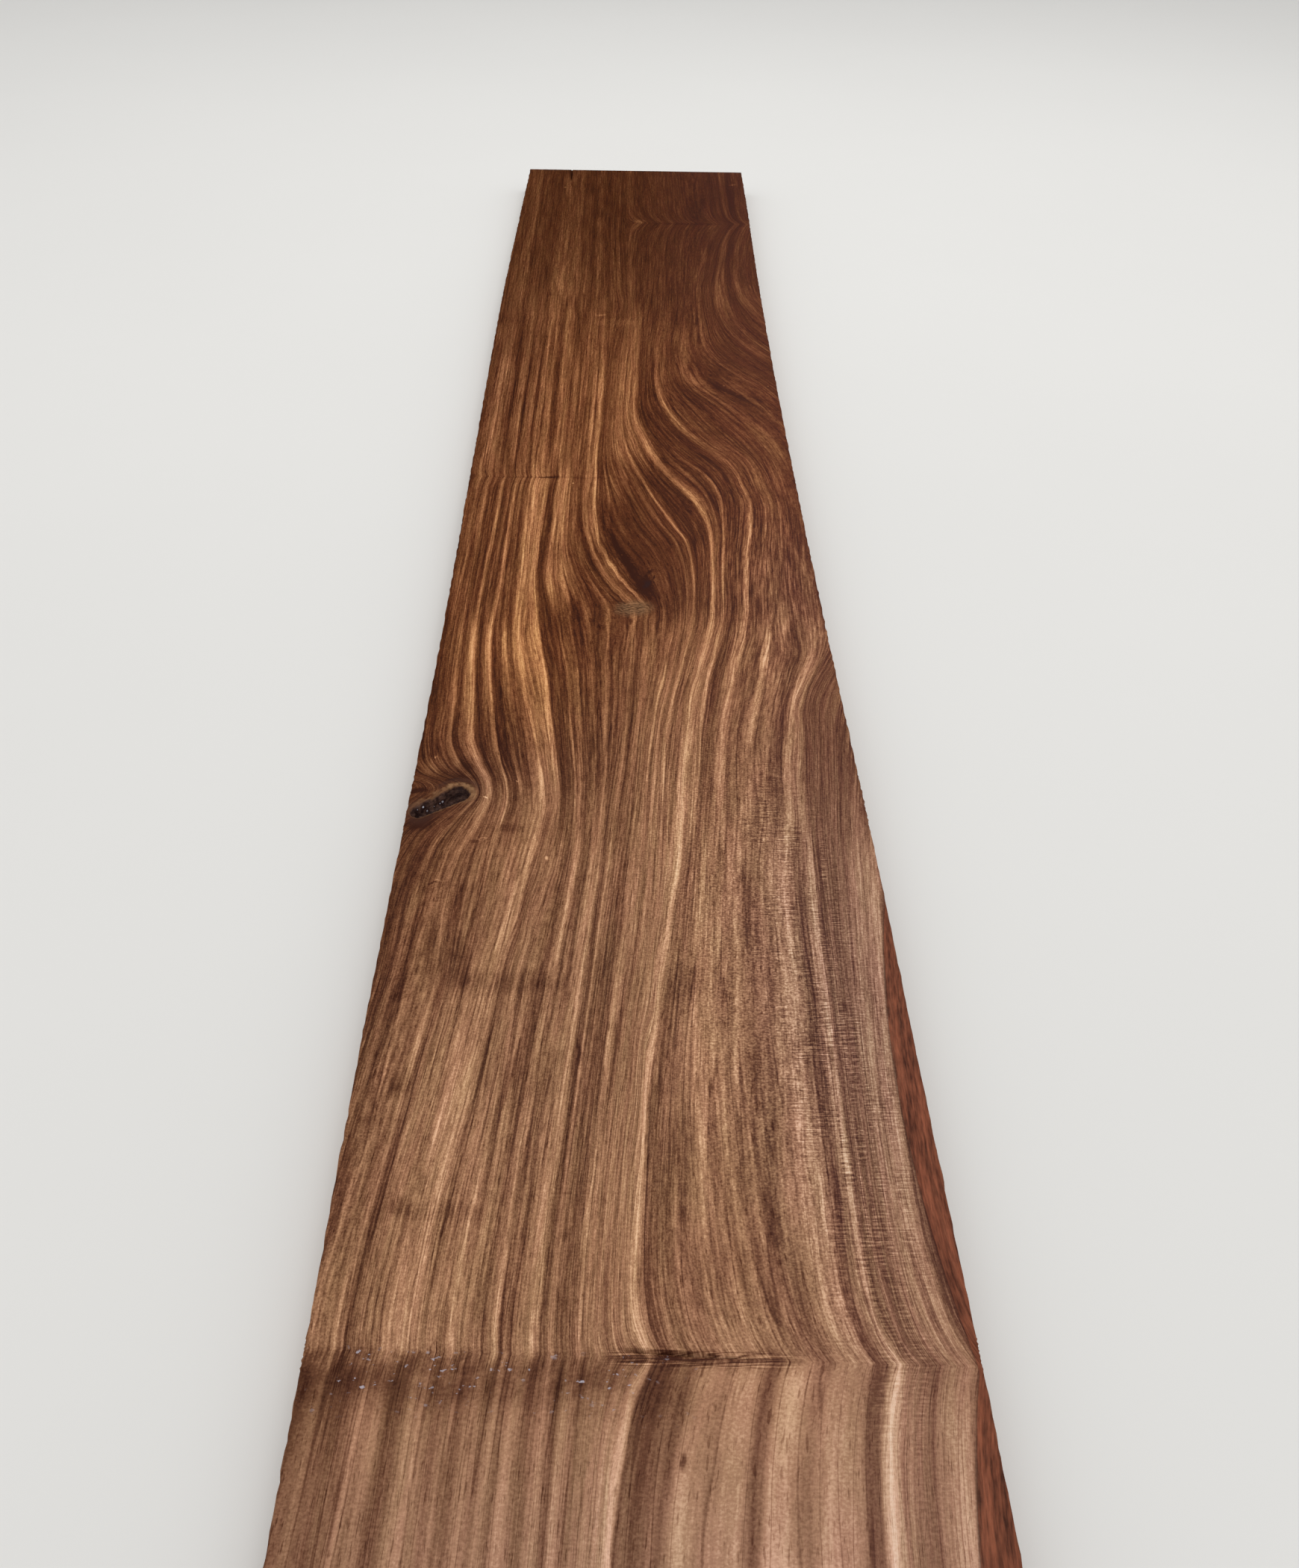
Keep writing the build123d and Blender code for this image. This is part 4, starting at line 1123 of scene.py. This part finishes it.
def knot_colours(graph, colour, place):
    """The pale rim, the dark arc round it and the resin in the pit with its painted highlights: the colour,
    and the pit's share.
    """
    along, across, inside = knot_place(graph, place)
    wobble = graph.math("MULTIPLY", graph.noise(place, (5.0, 5.0, ENDLESS), 2.0), 2.4)
    frayed = graph.math("ADD", inside, wobble)
    ring = graph.math("MULTIPLY", graph.steps(frayed, -4.2, -2.4), graph.steps(frayed, 0.2, -0.6))
    broken = graph.steps(graph.noise(place, (9.0, 5.0, ENDLESS), 2.0), -0.10, 0.14, 0.0, 0.8)
    upper_side = graph.math("MULTIPLY", graph.steps(across, 1.0, 5.0), broken)
    ring = graph.math("MULTIPLY", ring, graph.math("MAXIMUM", graph.steps(along, 2.0, 13.0), upper_side))
    leaning = graph.math("MULTIPLY_ADD", along, 0.5, across)
    ring = graph.math("MULTIPLY", ring, graph.steps(leaning, -6.0, 3.0))
    fibres = graph.steps(graph.noise(place, (2.6, 2.6, ENDLESS), 3.0), -0.18, 0.12, 0.2, 0.75)
    ring = graph.math("MULTIPLY", ring, fibres)
    lip = graph.math("MULTIPLY", graph.steps(frayed, -1.6, -0.8), graph.steps(frayed, 0.3, -0.3, 0.0, 0.35))
    colour = graph.tint(graph.math("MAXIMUM", ring, lip), colour, KNOT_RIM)
    arc = graph.math("MULTIPLY", graph.steps(frayed, -8.0, -6.0), graph.steps(frayed, -3.4, -4.6, 0.0, 0.55))
    arc = graph.math("MULTIPLY", arc, graph.steps(along, 2.0, 12.0))
    arc = graph.math("MULTIPLY", arc, graph.steps(across, -7.0, 1.0))
    colour = graph.tint(arc, colour, KNOT_ARC)
    stain = graph.math("MULTIPLY", graph.steps(frayed, -9.0, 0.0), graph.steps(along, 2.0, -14.0, 0.0, 0.6))
    colour = graph.tint(stain, colour, KNOT_ARC)
    pit = graph.steps(graph.math("MULTIPLY_ADD", wobble, 0.6, inside), -0.6, 0.4)
    streaks = graph.steps(graph.noise(place, (4.0, 2.5, 2.5), 2.0), -0.16, 0.22)
    resin = graph.tint(streaks, RESIN_BLACK, RESIN_BROWN)
    # Painted highlights: each glint is a pale spot on the resin, in a darker patch.
    for x, y, z, radius in glint_places():
        away = graph.vector("DISTANCE", place, (x, y, z))
        resin = graph.tint(graph.steps(away, 2.8 * radius, 1.2 * radius, 0.0, 0.7), resin, KNOT_CORE)
        resin = graph.tint(graph.steps(away, radius, 0.2 * radius), resin, PAINTED_GLINT_WHITE)
    return graph.tint(pit, colour, resin), pit


def strip_share(graph, place):
    """1 on the rolled-off stretches that the planer missed, 0 on the planed face."""
    total = 0.0
    for middle_y, length, width, _ in ROLLED:
        radius, centre_x = rolled_arc(length, width)
        flat = graph.vector("MULTIPLY", place, (1, 1, 0))
        from_centre = graph.vector("DISTANCE", flat, (centre_x, middle_y, 0))
        total = graph.math("ADD", total, graph.steps(from_centre, radius - 0.6, radius - 2.2), clamp=True)
    return total


def pores(graph, grain):
    """Open pores: short dark dashes along the grain."""
    large = graph.steps(graph.noise(grain, (0.55, 9.0, 0.9), 1.0), 0.13, 0.22)
    small = graph.steps(graph.noise(grain, (0.32, 4.0, 0.6), 1.0), 0.12, 0.24)
    return graph.math("MAXIMUM", large, graph.math("MULTIPLY", small, 0.6))


def curly_colours(graph, colour, place, frayed):
    """The dark core at the end of the swirl, and the patch of short wavy lines below it."""
    core = graph.spot(frayed, *CORE_AT, 0.8)
    colour = graph.tint(graph.math("MULTIPLY", core, 0.85), colour, KNOT_CORE)
    swell = graph.math("MULTIPLY", graph.noise(place, CURL_SIZES, 2.0), CURL_SWELL)
    height = graph.math("ADD", graph.parts(place)[1], swell)
    line = graph.steps(graph.math("PINGPONG", height, CURL_SPACING), 0.2 * CURL_SPACING, 0.9 * CURL_SPACING)
    curly = graph.spot(frayed, *CURLY_AT, 0.7)
    return graph.tint(graph.math("MULTIPLY", curly, 0.8), colour, graph.tint(line, CURLY_DARK, CURLY_GREY))


def planed_walnut():
    """The planed face, with its knot, its stains and the red-brown stretches that the planer missed."""
    material, graph, shader = new_material("planed_walnut")
    place = board_place(graph)
    tone, grain = figure(graph, grain_place(graph), place, True)
    pore = pores(graph, grain)
    tone = graph.math("MULTIPLY_ADD", pore, -0.20, tone)
    colour = drifting_hue(graph, walnut_colour(graph, tone, place), grain)

    frayed = graph.vector("ADD", place, graph.vector("MULTIPLY", mark_wobble(graph, place), (6.0, 5.0, 0.0)))
    colour = curly_colours(graph, colour, place, frayed)
    colour = resin_specks(graph, colour, place)

    strip = strip_share(graph, place)
    strip_tone = graph.steps(graph.noise(grain, (2.2, 40.0, 5.0), 4.0), -0.22, 0.22, 0.15, 0.85)
    strip_fibre = graph.noise(grain, (0.7, 7.0, 1.5), 2.0)
    strip_tone = graph.math("MULTIPLY_ADD", strip_fibre, 1.4, strip_tone)
    border = graph.math("PINGPONG", strip, 0.5)
    strip_tone = graph.math("MULTIPLY_ADD", border, -1.4, strip_tone, clamp=True)
    strip_colour = graph.tint(strip_tone, STRIP_RED_DARK, STRIP_RED)
    colour = graph.tint(graph.math("MULTIPLY", strip, 0.9), colour, strip_colour)

    colour, pit = knot_colours(graph, colour, place)

    rough = graph.math("MULTIPLY_ADD", graph.noise(grain, (4.0, 70.0, 8.0), 3.0), 0.25, 0.50)
    rough = graph.math("MULTIPLY_ADD", pore, 0.15, rough)
    rough = graph.math("MULTIPLY_ADD", strip, 0.12, rough)
    rough = graph.between(pit, rough, 0.22)

    fibres = graph.noise(grain, (0.5, 16.0, 0.8), 3.0)
    height = graph.math("SUBTRACT", graph.math("MULTIPLY", fibres, 0.8), pore)
    lumps = graph.noise(place, (2.2, 1.6, 2.0), 3.0)
    height = graph.math("ADD", height, graph.math("MULTIPLY", graph.math("MULTIPLY", lumps, pit), 14.0))
    dress(graph, shader, colour, rough, PLANED_SHINE, height, PLANED_BUMP)
    return material


def sawn_walnut(name):
    """A rough-sawn surface: duller figure, fuzz and the saw's marks across the length."""
    material, graph, shader = new_material("sawn_walnut_" + name)
    place = board_place(graph)
    tone, grain = figure(graph, grain_place(graph), place, False)
    slanted = graph.add("ShaderNodeMapping", {"Vector": place, "Rotation": (0, 0, SAW_SLANT)}).outputs[0]
    marks = graph.noise(slanted, (90.0, 2.4, 90.0), 3.0)
    fuzz = graph.noise(grain, (0.7, 5.0, 0.7), 3.0)
    tone = graph.math("MULTIPLY_ADD", marks, 0.5, graph.math("MULTIPLY_ADD", fuzz, 0.6, tone), clamp=True)
    colour = graph.tint(DUST_SHARE, walnut_colour(graph, tone, place), SAWN_DUST)
    rough = graph.math("MULTIPLY_ADD", fuzz, 0.2, 0.78)
    height = graph.math("ADD", graph.math("MULTIPLY", marks, 3.0), fuzz)
    dress(graph, shader, colour, rough, SAWN_SHINE, height, SAWN_BUMP)
    return material


def end_walnut():
    """Cross-cut end grain: growth rings that cross the thickness, pores as dots, fine rays."""
    material, graph, shader = new_material("end_walnut")
    place = board_place(graph)
    flat = graph.vector("MULTIPLY", place, (1, 0, 1))
    warp = graph.noise(place, (60.0, ENDLESS, 30.0), 2.0)
    radius = graph.math("MULTIPLY_ADD", warp, 14.0, graph.vector("DISTANCE", flat, PITH_AT))
    radius = graph.math("MULTIPLY_ADD", graph.noise(place, (14.0, ENDLESS, 14.0), 2.0), 7.0, radius)
    ring = graph.math("PINGPONG", radius, HALF_RING)
    broad = graph.math("MULTIPLY", graph.noise(place, (34.0, ENDLESS, 20.0), 2.0), 0.3)
    ring_tone = graph.math("ADD", graph.steps(ring, 0.0, HALF_RING, 0.30, 0.56), broad)
    inputs = {"Vector": graph.stretched(place, (0.9, ENDLESS, 0.9)), "Scale": 1.0}
    dots = graph.steps(graph.add("ShaderNodeTexVoronoi", inputs).outputs[0], 0.28, 0.12)
    saw = graph.noise(place, (1.8, ENDLESS, 90.0), 3.0)
    sawn_tone = graph.math("MULTIPLY_ADD", saw, 0.35, ring_tone)
    tone = graph.math("MULTIPLY_ADD", dots, -0.35, sawn_tone, clamp=True)
    colour = graph.tint(DUST_SHARE, tone_ramp(graph, tone, MIDDLE_TONES), END_BROWN)
    rough = graph.math("MULTIPLY_ADD", saw, 0.2, 0.8)
    height = graph.math("SUBTRACT", graph.math("MULTIPLY", saw, 2.0), dots)
    dress(graph, shader, colour, rough, SAWN_SHINE, height, END_BUMP)
    return material


def floor_material():
    """A pale matt floor with a faint mottle."""
    material, graph, shader = new_material("studio_floor")
    place = graph.add("ShaderNodeTexCoord").outputs["Object"]
    mottle = graph.noise(place, (0.5, 0.5, 0.5), 4.0)
    shade = graph.math("MULTIPLY_ADD", mottle, 0.04, 1.0)
    grey = graph.add("ShaderNodeCombineColor", {0: shade, 1: shade, 2: shade}).outputs[0]
    colour = graph.tint(1.0, FLOOR_PALE, grey, "MULTIPLY")
    graph.put(shader.inputs["Base Color"], colour)
    shader.inputs["Roughness"].default_value = 0.9
    shader.inputs["Specular IOR Level"].default_value = 0.1
    return material


def flag_material():
    """Plain dark grey without any shine."""
    material, _, shader = new_material("studio_flag")
    shader.inputs["Base Color"].default_value = FLAG_GREY
    shader.inputs["Roughness"].default_value = 1.0
    shader.inputs["Specular IOR Level"].default_value = 0.0
    return material


def staged_sheet(name, corners, material):
    """A flat four-cornered sheet that belongs to the studio, not to the object."""
    mesh = bpy.data.meshes.new(name)
    mesh.from_pydata(corners, [], [(0, 1, 2, 3)])
    mesh.materials.append(material)
    sheet = bpy.data.objects.new(name, mesh)
    bpy.context.collection.objects.link(sheet)
    return sheet


def make_floor():
    """A wide level floor under the board."""
    side = FLOOR_SIDE / 2
    corners = [(-side, -side, 0), (side, -side, 0), (side, side, 0), (-side, side, 0)]
    staged_sheet("studio_floor", corners, floor_material())


def make_flag():
    """A dark card beyond the far end that the camera doesn't see, so that the face there keeps its colour."""
    wide, tall = FLAG_SIZE[0] / 2, FLAG_SIZE[1] / 2
    corners = [(-wide, 0, -tall), (wide, 0, -tall), (wide, 0, tall), (-wide, 0, tall)]
    flag = staged_sheet("studio_flag", corners, flag_material())
    flag.location = FLAG_AT
    flag.visible_camera = False


def make_camera():
    """The photograph's view: low over the near end, looking along the board."""
    cos_pitch, sin_pitch = math.cos(CAMERA_PITCH), math.sin(CAMERA_PITCH)
    forward = Vector((math.sin(CAMERA_YAW) * cos_pitch, math.cos(CAMERA_YAW) * cos_pitch, -sin_pitch))
    level = Vector((math.cos(CAMERA_YAW), -math.sin(CAMERA_YAW), 0))
    lift = level.cross(forward)
    right = level * math.cos(CAMERA_ROLL) + lift * math.sin(CAMERA_ROLL)
    up = lift * math.cos(CAMERA_ROLL) - level * math.sin(CAMERA_ROLL)
    turn = Matrix((right, up, -forward)).transposed().to_4x4()
    data = bpy.data.cameras.new("camera")
    data.sensor_fit = "AUTO"
    data.sensor_width = SENSOR
    data.lens = FOCAL_PIXELS / PHOTO_HEIGHT * SENSOR
    data.clip_start, data.clip_end = 0.01, 50
    camera = bpy.data.objects.new("camera", data)
    bpy.context.collection.objects.link(camera)
    camera.matrix_world = Matrix.Translation(CAMERA_AT) @ turn
    bpy.context.scene.camera = camera


def make_light():
    """A soft dome, brighter overhead than at the horizon, and one large softbox beyond the board."""
    world = bpy.data.worlds.new("studio")
    bpy.context.scene.world = world
    world.use_nodes = True
    graph = Graph(world.node_tree)
    background = world.node_tree.nodes["Background"]
    direction = graph.add("ShaderNodeTexCoord").outputs["Generated"]
    climb = graph.parts(direction)[2]
    graph.put(background.inputs["Color"], graph.ramp(climb, DOME))
    background.inputs["Strength"].default_value = DOME_STRENGTH

    data = bpy.data.lights.new("softbox", "AREA")
    data.shape = "SQUARE"
    data.size = SOFTBOX_SIDE
    data.energy = SOFTBOX_WATTS
    softbox = bpy.data.objects.new("softbox", data)
    softbox.location = SOFTBOX_AT
    softbox.rotation_euler = (Vector(SOFTBOX_AIM) - Vector(SOFTBOX_AT)).to_track_quat("-Z", "Y").to_euler()
    bpy.context.collection.objects.link(softbox)


make_camera()
make_floor()
make_flag()
make_light()
board = make_plank()
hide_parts("plank")
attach(board, "root")
bpy.context.scene.view_settings.view_transform = "Standard"
